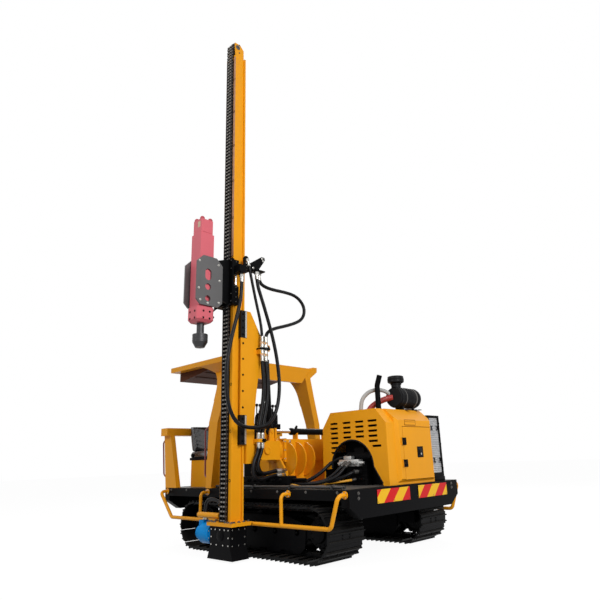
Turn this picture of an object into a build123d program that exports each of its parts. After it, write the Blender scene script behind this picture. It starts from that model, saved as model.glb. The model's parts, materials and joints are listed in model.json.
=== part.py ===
from build123d import *
import math
import os

# A pile driver rig on tracks, in millimetres. X points to the operator's end, Y to the side that the
# mast hangs on and Z up. Places are given from the ground under the middle of the tracks, and save()
# moves every piece so that the frame's origin is under the middle of the whole machine.
ORIGIN_X = 240
ORIGIN_Y = 410
FIT = 0.3            # running gap at pins, bores and seats
SLIDE_FIT = 0.5      # gap of a wear pad on its rail

# Tracks
TRACK_OUT_Y = 1150
SHOE_WIDTH = 580
WHEEL_X = 1070
TRACK_R = 300
GROUSER = 25
SHOE_T = 18
SHOE_COUNT = 38
SHOE_GAP = 8
LINK_T = 62
LINK_W = 160
TRACK_Y = TRACK_OUT_Y - SHOE_WIDTH / 2
SHOE_R = TRACK_R - GROUSER
SHOE_IN_R = SHOE_R - SHOE_T
LINK_IN_R = SHOE_IN_R - LINK_T
PITCH_R = SHOE_IN_R - LINK_T / 2
LINK_TOP_Z = TRACK_R + LINK_IN_R
LINK_LOW_Z = TRACK_R - LINK_IN_R

# Track frames, rollers and the cross frame
CHEEK_IN = 95
CHEEK_T = 16
CHEEK_HALF = 820
CHEEK_LOW = 150
CHEEK_TOP = 390
NECK_LOW = 235
NECK_TOP = 365
NECK_RUN = 60        # the cheek's slope down to the neck, and the neck's reach past the axle
TOP_PLATE_X = 620
EAR_Y = (45, 57)     # the carrier roller's two ears, each side of the track's middle
EAR_X = 40
ROLLER_R = 70
ROLLER_W = 120
ROLLER_X = (-720, -360, 0, 360, 720)
CARRIER_R = 45
WHEEL_W = 96
HUB_R = 70
SPROCKET_TEETH = 19
CROSS_X = 430
CROSS_W = 170
CROSS_LOW = 295
CROSS_TOP = 425
BOX_X = 600          # half length and width of the box over the cross tubes
BOX_Y = 430
BOX_LOW = 385
BOX_WALL = 15
PAD_X = 560          # half length of the pads under the deck's spines

# Deck
DECK_REAR = -1600
DECK_FRONT = 1860
DECK_Y = 1090
TRACK_TOP = 2 * TRACK_R
DECK_TOP = TRACK_TOP + 147
FLOOR_T = 8
BUMPER_T = 110
BUMPER_LOW = TRACK_TOP - 140
SIDE_BEAM_LOW = TRACK_TOP + 40
SIDE_BEAM_W = 60
BOX_GAP = 40         # the pads' height, between the box and the spines
SPINE_Y = 390
SPINE_W = 120
SPINE_LOW = TRACK_TOP
PLATE_T = 10         # folded plate of the deck's beams
END_CORNER_Y = 905
END_CORNER_Z = TRACK_TOP - 23
CROSS_CHANNEL_X = (-900, 0, 900)
CROSS_CHANNEL_W = 80
HAZARD_Y = ((0, 630), (-820, -170))
HAZARD_Z = (TRACK_TOP - 20, DECK_TOP - 17)
HAZARD_T = 4
EDGE_PIPES = ((1004, DECK_TOP + 21), (960, DECK_TOP + 21))   # Y and Z of the pipes along the deck's left edge
EDGE_PIPE_R = 15
EDGE_PIPE_X = (-1440, 760)
EDGE_CLIP_X = (-1300, -650, 0, 650)

# Guard tubes along the tracks
GUARD_Y = 1200
GUARD_R = 22
GUARD_Z = 380
GUARD_REAR = (-1545, -1430)
GUARD_FRONT = (1490, 1800)
GUARD_POSTS = (-700, 825)

# Hood
HOOD_REAR = -1550
HOOD_FRONT = -530
HOOD_LEFT = 310
HOOD_RIGHT = -642
HOOD_TOP = 1622
SHOULDER_Z = 1448
HOOD_T = 20
TOP_REAR = -1405
TOP_FRONT = -690
ARCH_X = (-1335, -684)
ARCH_TOP = 1272
ARCH_SPRING = 960
LEG_LOW = 940
FLARE_X = -1468
SLOT_H = 26
SLOT_PITCH = 58.5
SLOT_TOP_Z = 1482

# Air filter on the hood
FILTER_X = -1340
FILTER_Y = (-640, -190)
FILTER_Z = 1785
FILTER_R = 128
CRADLE_Y = (-540, -310)
BOWL_R = 102
BOWL_Z = (1955, 2058)

# Exhaust
EXHAUST_XY = (-1180, -70)
EXHAUST_R = 34
EXHAUST_Z = (1945, 2070)

# Rear door
BULGE_OUT = 40       # how far the rear panel stands out of the hood
REAR_PANEL_Y = (HOOD_RIGHT + HOOD_T, 150)
REAR_PANEL_LOW = 770
DOOR_Y = (-580, 34)
DOOR_Z = (800, 1400)
DOOR_GAP = 6
DOOR_X = HOOD_REAR - BULGE_OUT
HINGE_X = DOOR_X - 10
HINGE_Y = DOOR_Y[1] + 10
HINGE_Z = (983, 1231)
HINGE_H = 40
KNUCKLE_R = 9
LATCH_Y = (-345, -265)
LATCH_Z = (1055, 1155)

# Engine, pump and cooler
ENGINE_X = (-1400, -760)
ENGINE_Y = (-520, 120)
ENGINE_TOP = 1330
PUMP_X = (-1190, -960)
PUMP_Y = (150, 260)
PUMP_TOP = 1010
VALVE_R = 55
VALVE_Z = 1075
COOLER_X = (-1530, -1420)
COOLER_Y = (-915, HOOD_RIGHT)
COOLER_TOP = 1560
COOLER_RIM = 30
COOLER_SILL = 100    # height of the frame's lowest bar

# Platform end
CANOPY_FRONT = 2080
CANOPY_Y = 950
CANOPY_TOP = 2513
FASCIA_LOW = 2440
SIDE_BOX_W = 90      # the roof's side boxes, beside the roof sheet
HEADER_X = (712, 772)
ROOF_Z = (2455, 2485)
SEAT_X = (1190, 1640)
SEAT_Y = (400, 860)
BOX_TOP = 1110
GUARD_POST_X = (1580, 1860)
RAIL_X = 1950
RAIL_Z = (1470, 1577)
RAIL_Y = 1090
RAIL_W = 170         # the cross bar's width, and the overhang past the posts
RAIL_OVER = 60
POST_W = 70

# Lever stand and tank
STAND_X = (430, 530)
STAND_Y = (230, 560)
STAND_Z = (1420, 1560)
LEVERS = 7
LEVER_PITCH = 60
LEVER_TOP = 1815
TANK_X = (230, 690)
TANK_Y = (-1010, -480)
TANK_TOP = 1225

# Boom and its saddle
BOOM_Z = 1190
OUTER_HALF = 170
OUTER_Z = (1050, 1325)
OUTER_Y = (-950, 640)
OUTER_WALL = 15
INNER_HALF = 143
INNER_Z = (1077, 1298)
INNER_START = -820
FLANGE_R = 150
FLANGE_Y = (645, 675)
FIN_Y = (600, 430, 270, -270)
FIN_T = 16
FIN_OUT = 355
FIN_LOW = 870
SADDLE_Y = (-330, 600)
SADDLE_HALF = 150
SADDLE_WALL = 20
SADDLE_BASE = 260
CRADLE_HALF = 110    # half width of the wear pads above and below the inner boom
PAD_LENGTH = 120
STROKE_POST_Y = (-300, 270)

# Yoke and the cylinders
YOKE_Y = (700, 1060)
YOKE_HALF = 150
CHEEK_PLATE = 20
PIN_Y = 914
PIN_R = 30
TILT_BASE = (740, 1430)
TILT_EYE = (800, 2510)
BARREL_R = 42
ROD_R = 20
STROKE_Z = 1432
TILT_LENGTH = math.hypot(TILT_EYE[0] - TILT_BASE[0], TILT_EYE[1] - TILT_BASE[1])
BARREL_END = 930

# Mast, its holder and the chain
MAST_IN = 1250
MAST_OUT = 1440
RAIL_HALF = 108
RAIL_T = 26
TUBE_HALF = 88
TUBE_WALL = 10
MAST_LOW = 410
MAST_TOP = 6900
CHANNEL_HALF = 62
CHAIN_Y = 1390
CHAIN_R = 73
CHAIN_HALF_W = 58
CHAIN_T = 36
CHAIN_PITCH = 50.8
CHAIN_WAIST = 11     # depth of the waist between two outer plates
CHAIN_Z = (270, MAST_TOP + 160)
EAR_LOW = 160        # start of the sprocket's ears under the mast's top
TEETH = 9
FOOT_Z = (20, 370)
FOOT_X = (-180, 195)
FOOT_Y = (1262, 1500)
FOOT_PLATE = 40
FOOT_PLATE_X = 235
FOOT_WALL = 12
FOOT_INNER_X = 140
SKIRT_Z = 150        # top of the foot's flared skirt
SKIRT_OUT = 45
# Steps of the feed motor: start and end from the foot's side, radius
MOTOR_STEPS = ((0, 50, 96), (50, 240, 116), (240, 330, 84))
HOLDER_Y = (1116, 1240)
HOLDER_Z = (1040, 2930)
HOLDER_HALF = 145
BULGE_Y = 980
PAD_OUT = 1336
PAD_Z = ((1260, 1610), (2570, 2930))

GUARD_BAR = (1425, 470)      # Y and Z of the bar over the motor
GUARD_BAR_END = 520
GUARD_BAR_R = 32

# Arm, bulkhead and clamp of the hoses, and the hoses' routes as (Y, Z) from end to end
ARM_X = (-175, -155)
SHELF_X = (-292, -155)
SHELF_Z = (3470, 3485)
BULKHEAD_Z = (2440, 2460)
BULKHEAD_Y = (975, 1036)
FITTING_R = 27
FITTING_LENGTH = 80
CLAMP_Z = (1285, 1325)
ANCHOR_Y = (645, 675)
ANCHOR_Z = 888
HOSE_R = 23
ARCHED_HOSE_R = 19
LOOP_X = -262
DROP_X = -205
LOOP_LOW = (1246, 1452)
LOOP_OUT = (
    (1180, 3420), (1180, 3290), (1105, 3115), (1000, 2850), (898, 2565), (828, 2270), (797, 1965), (842, 1700),
    (943, 1534), (1086, 1452), LOOP_LOW,
)
LOOP_BACK = (
    LOOP_LOW, (1400, 1452), (1534, 1539), (1623, 1707), (1655, 1974), (1638, 2280), (1570, 2570), (1487, 2850),
    (1432, 3110), (1432, 3330),
)
ARCHED = ((1283, 3605), (1245, 3490), (1195, 3290), (1135, 3060), (1070, 2840), (1036, 2665), (1036, 2540))
BOW = (
    (1085, 3440), (1085, 3350), (985, 3300), (830, 3291), (600, 3302), (400, 3290), (262, 3200), (228, 3080),
    (290, 2960), (440, 2880), (640, 2808), (810, 2755), (925, 2700), (975, 2625), (975, 2540),
)
HOLDER_DROP = ((1036, 2360), (1036, 2240), (1010, 2060), (1016, 1860), (1048, 1660), (1100, 1475), (1100, 1325))
BOOM_DROP = (
    (1100, 1285), (1100, 1185), (1172, 1060), (1195, 950), (1150, 868), (1050, 848), (892, 888), (736, 888),
)

# Carriage and hammer
CARRIAGE_Z = (2980, 3590)
CLAMP_LOW = 250      # height of the lower clamp, and of the upper one
CLAMP_HIGH = 190
CLAMP_PAD = 140      # a pad's height at the carriage's two ends
CLAMP_X = 160
ROD_PLACES = ((-142, 1425), (-142, 1470), (142, 1425), (142, 1470))   # X and Y of the rods between the clamps
HOSE_BLOCK_Y = (1385, 1480)
HOSE_BLOCK_Z = (3395, 3490)
GRIP_IN = 1390
HAMMER_Y = 1850
PLATE_X = (118, 140)
PLATE_Y = (1635, 2015)
PLATE_Z = (2900, 3540)
HEAD_HALF = 87
BODY_HALF = 100
BODY_Z = (2885, 3860)
HEAD_TOP = 4060
SIDE_LUG_Z = (3040, 3400)
TIE_ROD = 60         # distance of each tie rod from the hammer's two middle planes
# Cut-outs of a hammer plate: height, width of the opening, its length
PLATE_HOLES = ((3300, 90, 150), (3140, 84, 84), (2990, 76, 76))
NOSE_HALF = 122
NOSE_LOW = 2700
NOSE_BEVEL = 32
SHANK_R = 45
CAP_R = 92
CAP_Z = (2400, 2465, 2560)


def block(x, y, z):
    """A box between the two ends given on each axis."""
    low = [min(pair) for pair in (x, y, z)]
    size = [abs(pair[1] - pair[0]) for pair in (x, y, z)]
    middle = [a + b / 2 for a, b in zip(low, size)]
    return Pos(*middle) * Box(*size)


def bar(axis, ends, place, radius):
    """A round bar along an axis, between two ends on it, at the other two coordinates."""
    middle = sum(ends) / 2
    length = abs(ends[1] - ends[0])
    if axis == "X":
        return Pos(middle, *place) * Rot(0, 90, 0) * Cylinder(radius, length)
    if axis == "Y":
        return Pos(place[0], middle, place[1]) * Rot(90, 0, 0) * Cylinder(radius, length)
    return Pos(*place, middle) * Cylinder(radius, length)


def along_y(face, y):
    """A sketch drawn in X and Z, extruded from one Y to the other."""
    plane = Plane(origin=(0, max(y), 0), x_dir=(1, 0, 0), z_dir=(0, -1, 0))
    return extrude(plane * face, abs(y[1] - y[0]))


def along_x(face, x):
    """A sketch drawn in Y and Z, extruded from one X to the other."""
    plane = Plane(origin=(min(x), 0, 0), x_dir=(0, 1, 0), z_dir=(1, 0, 0))
    return extrude(plane * face, abs(x[1] - x[0]))


def shape(*points):
    """A flat face with straight sides."""
    return make_face(Polyline(*points, close=True))


def both_sides(piece):
    """A piece and its mirror image across the middle of the mast, boom and tracks."""
    return piece + mirror(piece, Plane.YZ)


def mirror_y(piece):
    """A piece's mirror image on the other side of the machine."""
    return mirror(piece, Plane.XZ)


def tube(points, radius, bend):
    """A round tube through the points, with its corners bent."""
    path = FilletPolyline(*points, radius=bend)
    section = Plane(path @ 0, z_dir=path % 0) * Circle(radius)
    return sweep(section, path=path)


def hose(name, x, route, radius=HOSE_R):
    """A hose in one plane, with each arc as large as its two runs allow. Its radii and volume are printed."""
    points = [Vector(x, y, z) for y, z in route]
    runs = [b - a for a, b in zip(points, points[1:])]
    bends = []
    for a, b in zip(runs, runs[1:]):
        half_turn = math.radians(a.get_angle(b)) / 2
        bends.append(0.45 * min(a.length, b.length) / math.tan(half_turn))
    path = FilletPolyline(*points, radius=bends)
    solid = sweep(Plane(path @ 0, z_dir=path % 0) * Circle(radius), path=path)
    share = solid.volume / (math.pi * radius**2 * path.length)
    print(name, "length", round(path.length), "volume share", round(share, 4), "radii", [round(r) for r in bends])
    return solid


def save(name, *pieces):
    """Write one node, moved so that the frame's origin is under the middle of the machine."""
    moved = [Pos(-ORIGIN_X, -ORIGIN_Y, 0) * solid for piece in pieces for solid in piece.solids()]
    export_step(moved[0] if len(moved) == 1 else Compound(moved), f"parts/{name}.step")


def loop_point(s, r):
    """The point at distance s around a track, r away from the line between its wheels."""
    run = 2 * WHEEL_X
    turn = math.pi * PITCH_R
    s = s % (2 * (run + turn))
    if s < run:
        return (-WHEEL_X + s, TRACK_R + r)
    s = s - run
    if s < turn:
        angle = s / PITCH_R
        return (WHEEL_X + r * math.sin(angle), TRACK_R + r * math.cos(angle))
    s = s - turn
    if s < run:
        return (WHEEL_X - s, TRACK_R - r)
    angle = (s - run) / PITCH_R
    return (-WHEEL_X - r * math.sin(angle), TRACK_R - r * math.cos(angle))


def track_loop():
    """The left track: plates with a grouser each, on a band of links that runs on the rollers."""
    pitch = 2 * (2 * WHEEL_X + math.pi * PITCH_R) / SHOE_COUNT
    # Each step of a shoe: share of the pitch, distance from the wheel line
    steps = (
        (0.0, SHOE_R - SHOE_T / 2),
        (SHOE_GAP / pitch, SHOE_R),
        (0.22, SHOE_R),
        (0.26, TRACK_R),
        (0.36, TRACK_R),
        (0.40, SHOE_R),
        (1.0, SHOE_R),
    )
    points = [loop_point((k + share) * pitch, r) for k in range(SHOE_COUNT) for share, r in steps]
    shoes = shape(*points) - Pos(0, TRACK_R) * SlotCenterToCenter(2 * WHEEL_X, 2 * SHOE_IN_R)
    links = Pos(0, TRACK_R) * SlotCenterToCenter(2 * WHEEL_X, 2 * SHOE_IN_R + 2)
    links -= Pos(0, TRACK_R) * SlotCenterToCenter(2 * WHEEL_X, 2 * LINK_IN_R)
    edges = (TRACK_Y - SHOE_WIDTH / 2, TRACK_Y + SHOE_WIDTH / 2)
    band = (TRACK_Y - LINK_W / 2, TRACK_Y + LINK_W / 2)
    return along_y(shoes, edges) + along_y(links, band)


def track_frame():
    """The left track frame: two cheeks under a top plate, with forks that hold the end wheels."""
    cheek_out = CHEEK_IN + CHEEK_T
    outline = shape(
        (-CHEEK_HALF, CHEEK_LOW), (CHEEK_HALF, CHEEK_LOW), (CHEEK_HALF + NECK_RUN, NECK_LOW),
        (WHEEL_X + NECK_RUN, NECK_LOW), (WHEEL_X + NECK_RUN, NECK_TOP), (CHEEK_HALF + NECK_RUN, NECK_TOP),
        (CHEEK_HALF, CHEEK_TOP), (-CHEEK_HALF, CHEEK_TOP), (-CHEEK_HALF - NECK_RUN, NECK_TOP),
        (-WHEEL_X - NECK_RUN, NECK_TOP), (-WHEEL_X - NECK_RUN, NECK_LOW), (-CHEEK_HALF - NECK_RUN, NECK_LOW),
    )
    across = (TRACK_Y - CHEEK_IN, TRACK_Y + CHEEK_IN)
    frame = block((-TOP_PLATE_X, TOP_PLATE_X), across, (CHEEK_TOP - CHEEK_T, CHEEK_TOP))
    for side in (-1, 1):
        frame += along_y(outline, (TRACK_Y + side * CHEEK_IN, TRACK_Y + side * cheek_out))
        ear = (TRACK_Y + side * EAR_Y[0], TRACK_Y + side * EAR_Y[1])
        frame += block((-EAR_X, EAR_X), ear, (CHEEK_TOP - CHEEK_T, LINK_TOP_Z - 20))
    return frame


def wheel_disc(radius, width, hub_r):
    """A wheel about Y: rim, thinner web and a hub that reaches to the cheeks."""
    half = width / 2
    profile = shape(
        (0, -CHEEK_IN + FIT), (hub_r, -CHEEK_IN + FIT), (hub_r, -20), (radius - 45, -20),
        (radius - 30, -half), (radius, -half), (radius, half), (radius - 30, half),
        (radius - 45, 20), (hub_r, 20), (hub_r, CHEEK_IN - FIT), (0, CHEEK_IN - FIT),
    )
    return Rot(-90, 0, 0) * revolve(Plane.XZ * profile, Axis.Z)


def idler():
    """The front idler of the left track."""
    return Pos(WHEEL_X, TRACK_Y, TRACK_R) * wheel_disc(LINK_IN_R - FIT, WHEEL_W, HUB_R)


def sprocket():
    """The rear drive sprocket of the left track, its teeth just inside the links."""
    wheel = wheel_disc(LINK_IN_R - FIT, WHEEL_W, HUB_R)
    notch = bar("Y", (-WHEEL_W, WHEEL_W), (LINK_IN_R + 4, 0), 17)
    for k in range(SPROCKET_TEETH):
        wheel -= Rot(0, 360 * k / SPROCKET_TEETH, 0) * notch
    return Pos(-WHEEL_X, TRACK_Y, TRACK_R) * wheel


def rollers():
    """The left track's bottom rollers and its one carrier roller, each with its shaft."""
    z = LINK_LOW_Z + ROLLER_R + FIT
    made = []
    for x in ROLLER_X:
        roller = bar("Y", (TRACK_Y - ROLLER_W / 2, TRACK_Y + ROLLER_W / 2), (x, z), ROLLER_R)
        shaft = bar("Y", (TRACK_Y - CHEEK_IN + FIT, TRACK_Y + CHEEK_IN - FIT), (x, z), 26)
        made.append(roller + shaft)
    z = LINK_TOP_Z - CARRIER_R - FIT
    reach = EAR_Y[0] - FIT
    carrier = bar("Y", (TRACK_Y - reach + 5, TRACK_Y + reach - 5), (0, z), CARRIER_R)
    carrier += bar("Y", (TRACK_Y - reach, TRACK_Y + reach), (0, z), 15)
    made.append(carrier)
    return made


def cross_frame():
    """Two cross tubes between the track frames, under the box that the deck stands on."""
    reach = TRACK_Y - CHEEK_IN - CHEEK_T
    top = SPINE_LOW - BOX_GAP
    frame = block((-BOX_X, BOX_X), (-BOX_Y, BOX_Y), (BOX_LOW, top))
    inner_x, inner_y = BOX_X - BOX_WALL, BOX_Y - BOX_WALL
    frame -= block((-inner_x, inner_x), (-inner_y, inner_y), (BOX_LOW - 1, top - BOX_WALL))
    for x in (-CROSS_X, CROSS_X):
        frame += block((x - CROSS_W / 2, x + CROSS_W / 2), (-reach, reach), (CROSS_LOW, CROSS_TOP))
    for side in (-1, 1):
        spine = (side * (SPINE_Y - SPINE_W / 2), side * (SPINE_Y + SPINE_W / 2))
        frame += block((-PAD_X, PAD_X), spine, (top - 1, SPINE_LOW))
    return frame


def deck_end(wall):
    """The outline of the deck's two end boxes, smaller all round by the given wall."""
    side, low, corner = DECK_Y - wall, BUMPER_LOW + wall, END_CORNER_Z + wall / 2
    run = END_CORNER_Y - wall / 2
    return shape(
        (-side, DECK_TOP - wall), (-side, corner), (-run, low), (run, low), (side, corner), (side, DECK_TOP - wall),
    )


def deck_frame():
    """The yellow deck frame of folded plate: rear bumper, side channels, spine tubes and cross channels."""
    frame = along_x(deck_end(0), (DECK_REAR, DECK_REAR + BUMPER_T))
    length = (DECK_REAR + BUMPER_T, DECK_FRONT - BUMPER_T)
    floor_low = DECK_TOP - FLOOR_T
    for side in (-1, 1):
        edge = (side * (DECK_Y - SIDE_BEAM_W), side * DECK_Y)
        frame += block(length, edge, (SIDE_BEAM_LOW, DECK_TOP))
        inner = (side * (DECK_Y - SIDE_BEAM_W - 1), side * (DECK_Y - PLATE_T))
        frame -= block(length, inner, (SIDE_BEAM_LOW + PLATE_T, floor_low - PLATE_T))
        spine = (side * (SPINE_Y - SPINE_W / 2), side * (SPINE_Y + SPINE_W / 2))
        frame += block(length, spine, (SPINE_LOW, floor_low))
    reach = DECK_Y - PLATE_T
    for x in CROSS_CHANNEL_X:
        half = CROSS_CHANNEL_W / 2
        frame += block((x - half, x + half), (-reach, reach), (SIDE_BEAM_LOW, floor_low))
        half -= PLATE_T
        frame -= block((x - half, x + half), (-reach, reach), (SIDE_BEAM_LOW - 1, floor_low - PLATE_T))
    for side in (-1, 1):
        half = SPINE_W / 2 - PLATE_T
        frame -= block(
            (length[0] - 1, length[1] + 1), (side * (SPINE_Y - half), side * (SPINE_Y + half)),
            (SPINE_LOW + PLATE_T, floor_low - PLATE_T),
        )
    frame -= along_x(deck_end(PLATE_T), (DECK_REAR + PLATE_T, DECK_REAR + BUMPER_T - PLATE_T))
    for y in HAZARD_Y:
        frame += block((DECK_REAR - HAZARD_T, DECK_REAR + 1), y, HAZARD_Z)
    return frame


def deck_floor():
    """The dark tread plate between the side beams, and the two pipes that run along its left edge."""
    inside = DECK_Y - SIDE_BEAM_W
    length = (DECK_REAR + BUMPER_T, DECK_FRONT - BUMPER_T)
    floor = block(length, (-inside, inside), (DECK_TOP - FLOOR_T, DECK_TOP))
    for y, z in EDGE_PIPES:
        floor += bar("X", EDGE_PIPE_X, (y, z), EDGE_PIPE_R)
    for x in EDGE_CLIP_X:
        floor += block((x - 12, x + 12), (EDGE_PIPES[1][0] - 20, inside), (DECK_TOP - 1, EDGE_PIPES[0][1]))
    return floor


def front_apron():
    """The dark plated box across the front of the deck."""
    box = along_x(deck_end(0), (DECK_FRONT - BUMPER_T, DECK_FRONT))
    return box - along_x(deck_end(PLATE_T), (DECK_FRONT - BUMPER_T + PLATE_T, DECK_FRONT - PLATE_T))


def side_guard():
    """The left guard tube: along the track, up to the deck at both ends, with two bent posts."""
    rise_z = DECK_TOP - 47
    wall = DECK_Y
    guard = tube(
        [
            (GUARD_REAR[0], wall, rise_z), (GUARD_REAR[0], GUARD_Y, rise_z), (GUARD_REAR[1], GUARD_Y, GUARD_Z),
            (GUARD_FRONT[0], GUARD_Y, GUARD_Z), (GUARD_FRONT[1], GUARD_Y, rise_z), (GUARD_FRONT[1], wall, rise_z),
        ],
        GUARD_R,
        60,
    )
    for x in GUARD_POSTS:
        guard += tube([(x, GUARD_Y, GUARD_Z), (x, GUARD_Y, rise_z), (x, wall, rise_z)], GUARD_R - 2, 50)
    return guard


def hood_outline():
    """The hood's outline from the side."""
    return shape(
        (HOOD_REAR, DECK_TOP), (HOOD_REAR, SHOULDER_Z), (TOP_REAR, HOOD_TOP), (TOP_FRONT, HOOD_TOP),
        (HOOD_FRONT - 20, SHOULDER_Z - 18), (HOOD_FRONT, DECK_TOP),
    )


def arch_opening():
    """The opening in the left panel: an arch that flares to the deck, and a low gap in front of it."""
    middle = (ARCH_X[0] + ARCH_X[1]) / 2
    outline = (
        Line((ARCH_X[1], LEG_LOW), (ARCH_X[1], ARCH_SPRING))
        + ThreePointArc((ARCH_X[1], ARCH_SPRING), (middle, ARCH_TOP), (ARCH_X[0], ARCH_SPRING))
        + Polyline(
            (ARCH_X[0], ARCH_SPRING), (FLARE_X, DECK_TOP - 1), (HOOD_FRONT + 1, DECK_TOP - 1),
            (HOOD_FRONT + 1, LEG_LOW), (ARCH_X[1], LEG_LOW),
        )
    )
    return make_face(outline)


def louvres():
    """The four columns of slots: the outer two are longer, and the rear one steps back."""
    # Each column: front end, length, rows, step back of the rows under the fourth
    columns = ((-676, 128, 7, 0), (-884, 130, 4, 0), (-1082, 136, 4, 0), (-1280, 138, 6, 48))
    slots = []
    for front, length, rows, step in columns:
        for row in range(rows):
            x = front - (step if row > 4 else 0)
            slots.append((x - length, x, SLOT_TOP_Z - row * SLOT_PITCH))
    return slots


def hood_side(y, arch):
    """One side panel of the hood, with its louvres and, on the left, the arch."""
    outline = hood_outline()
    if arch:
        outline -= arch_opening()
    for rear, front, z in louvres():
        outline -= Pos((rear + front) / 2, z) * Rectangle(front - rear, SLOT_H)
    return along_y(outline, y)


def rear_panel():
    """The rear panel's raised face, bevelled at its sides and carried on up the hood's slope."""
    side_view = shape(
        (HOOD_REAR + 1, REAR_PANEL_LOW), (DOOR_X, REAR_PANEL_LOW + BULGE_OUT), (DOOR_X, SHOULDER_Z + 30),
        (TOP_REAR - 22, HOOD_TOP), (TOP_REAR + 1, HOOD_TOP), (HOOD_REAR + 1, SHOULDER_Z),
    )
    y0, y1 = REAR_PANEL_Y
    plan = make_face(
        Polyline(
            (TOP_REAR + 2, y0), (HOOD_REAR, y0), (DOOR_X, y0 + BULGE_OUT), (DOOR_X, y1 - BULGE_OUT),
            (HOOD_REAR, y1), (TOP_REAR + 2, y1), close=True,
        )
    )
    low = REAR_PANEL_LOW - 1
    return along_y(side_view, REAR_PANEL_Y) & (Pos(0, 0, low) * extrude(plan, HOOD_TOP + 2 - low))


def hood_cover():
    """The hood's front, top and rear, bent over between the side panels, with the door's opening."""
    inner = shape(
        (HOOD_REAR + HOOD_T, DECK_TOP - 1), (HOOD_REAR + HOOD_T, SHOULDER_Z - 8),
        (TOP_REAR + 8, HOOD_TOP - HOOD_T), (TOP_FRONT - 10, HOOD_TOP - HOOD_T),
        (HOOD_FRONT - 20 - HOOD_T, SHOULDER_Z - 26), (HOOD_FRONT - HOOD_T, DECK_TOP - 1),
    )
    cover = along_y(hood_outline() - inner, (HOOD_RIGHT + HOOD_T, HOOD_LEFT - HOOD_T))
    cover += rear_panel()
    cover -= block(
        (DOOR_X - 1, HOOD_REAR + HOOD_T + 1),
        (DOOR_Y[0] - DOOR_GAP, DOOR_Y[1] + DOOR_GAP),
        (DOOR_Z[0] - DOOR_GAP, DOOR_Z[1] + DOOR_GAP),
    )
    for z in HINGE_Z:
        cover += block((HINGE_X - 4, DOOR_X), (HINGE_Y + 12, HINGE_Y + 42), (z - HINGE_H, z + HINGE_H))
        cover += bar("Z", (z - HINGE_H, z - FIT), (HINGE_X, HINGE_Y), KNUCKLE_R)
        cover += block((HINGE_X - 4, HINGE_X + 6), (HINGE_Y + 4, HINGE_Y + 30), (z - HINGE_H, z - FIT))
    return cover


def rear_door():
    """The engine door, flush with the raised rear panel, with its hinges' knuckles and leaves."""
    door = block((DOOR_X, DOOR_X + HOOD_T), DOOR_Y, DOOR_Z)
    for z in HINGE_Z:
        knuckle = (z, z + HINGE_H)
        door += block((HINGE_X + 2, DOOR_X + 1), (HINGE_Y - 60, HINGE_Y - 12), knuckle)
        door += bar("Z", knuckle, (HINGE_X, HINGE_Y), KNUCKLE_R)
        door += block((HINGE_X - 4, HINGE_X + 6), (HINGE_Y - 30, HINGE_Y - 4), knuckle)
    return door


def door_latch():
    """The square paddle latch on the door, its paddle standing out of a plate."""
    plate = block((DOOR_X - 6, DOOR_X), LATCH_Y, LATCH_Z)
    inner_y = (LATCH_Y[0] + 20, LATCH_Y[1] - 20)
    return plate + block((DOOR_X - 14, DOOR_X - 6), inner_y, (LATCH_Z[0] + 15, LATCH_Z[1] - 25))


def engine():
    """The engine as one plain block on its mounts."""
    return block(ENGINE_X, ENGINE_Y, (DECK_TOP, ENGINE_TOP))


def pump():
    """The aluminium pump and valve block behind the arch."""
    middle = sum(PUMP_Y) / 2
    body = block(PUMP_X, PUMP_Y, (DECK_TOP, PUMP_TOP))
    body += bar("X", (PUMP_X[0] - 60, PUMP_X[1] + 60), (middle, VALVE_Z), VALVE_R)
    body += block((PUMP_X[0] + 40, PUMP_X[1] - 40), (PUMP_Y[0] + 20, PUMP_Y[1] - 20), (PUMP_TOP - 1, VALVE_Z + 105))
    return body


def cooler():
    """The oil cooler beside the hood, in its frame."""
    frame = block(COOLER_X, COOLER_Y, (DECK_TOP, COOLER_TOP))
    inner_y = (COOLER_Y[0] + COOLER_RIM, COOLER_Y[1] - COOLER_RIM)
    window = (DECK_TOP + COOLER_SILL, COOLER_TOP - COOLER_RIM)
    return frame - block((COOLER_X[0] - 1, COOLER_X[1] + 1), inner_y, window)


def cooler_core():
    """The finned core inside the cooler's frame."""
    y = (COOLER_Y[0] + COOLER_RIM, COOLER_Y[1] - COOLER_RIM)
    return block((COOLER_X[0] + 15, COOLER_X[1] - 15), y, (DECK_TOP + COOLER_SILL, COOLER_TOP - COOLER_RIM))


def air_filter():
    """The air filter canister across the hood, on two cradles."""
    x, z = FILTER_X, FILTER_Z
    can = bar("Y", FILTER_Y, (x, z), FILTER_R - 8)
    can += bar("Y", (FILTER_Y[0] + 170, FILTER_Y[1] - 40), (x, z), FILTER_R)
    for y in CRADLE_Y:
        can += block((x - 60, x + 60), (y - 15, y + 15), (HOOD_TOP, z - 60))
    return can


def pre_cleaner():
    """The pre-cleaner's bowl and neck, on the air filter."""
    x, y = FILTER_X, FILTER_Y[1] - 72
    neck = bar("Z", (FILTER_Z, BOWL_Z[0]), (x, y), 62) - bar("Y", FILTER_Y, (x, FILTER_Z), FILTER_R + FIT)
    bowl = Pos(x, y, 0) * revolve(Plane.XZ * shape(
        (0, BOWL_Z[0]), (62, BOWL_Z[0]), (BOWL_R, BOWL_Z[0] + 22), (BOWL_R, BOWL_Z[1] - 6), (BOWL_R - 10, BOWL_Z[1]),
        (0, BOWL_Z[1]),
    ), Axis.Z)
    return neck + bowl


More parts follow.
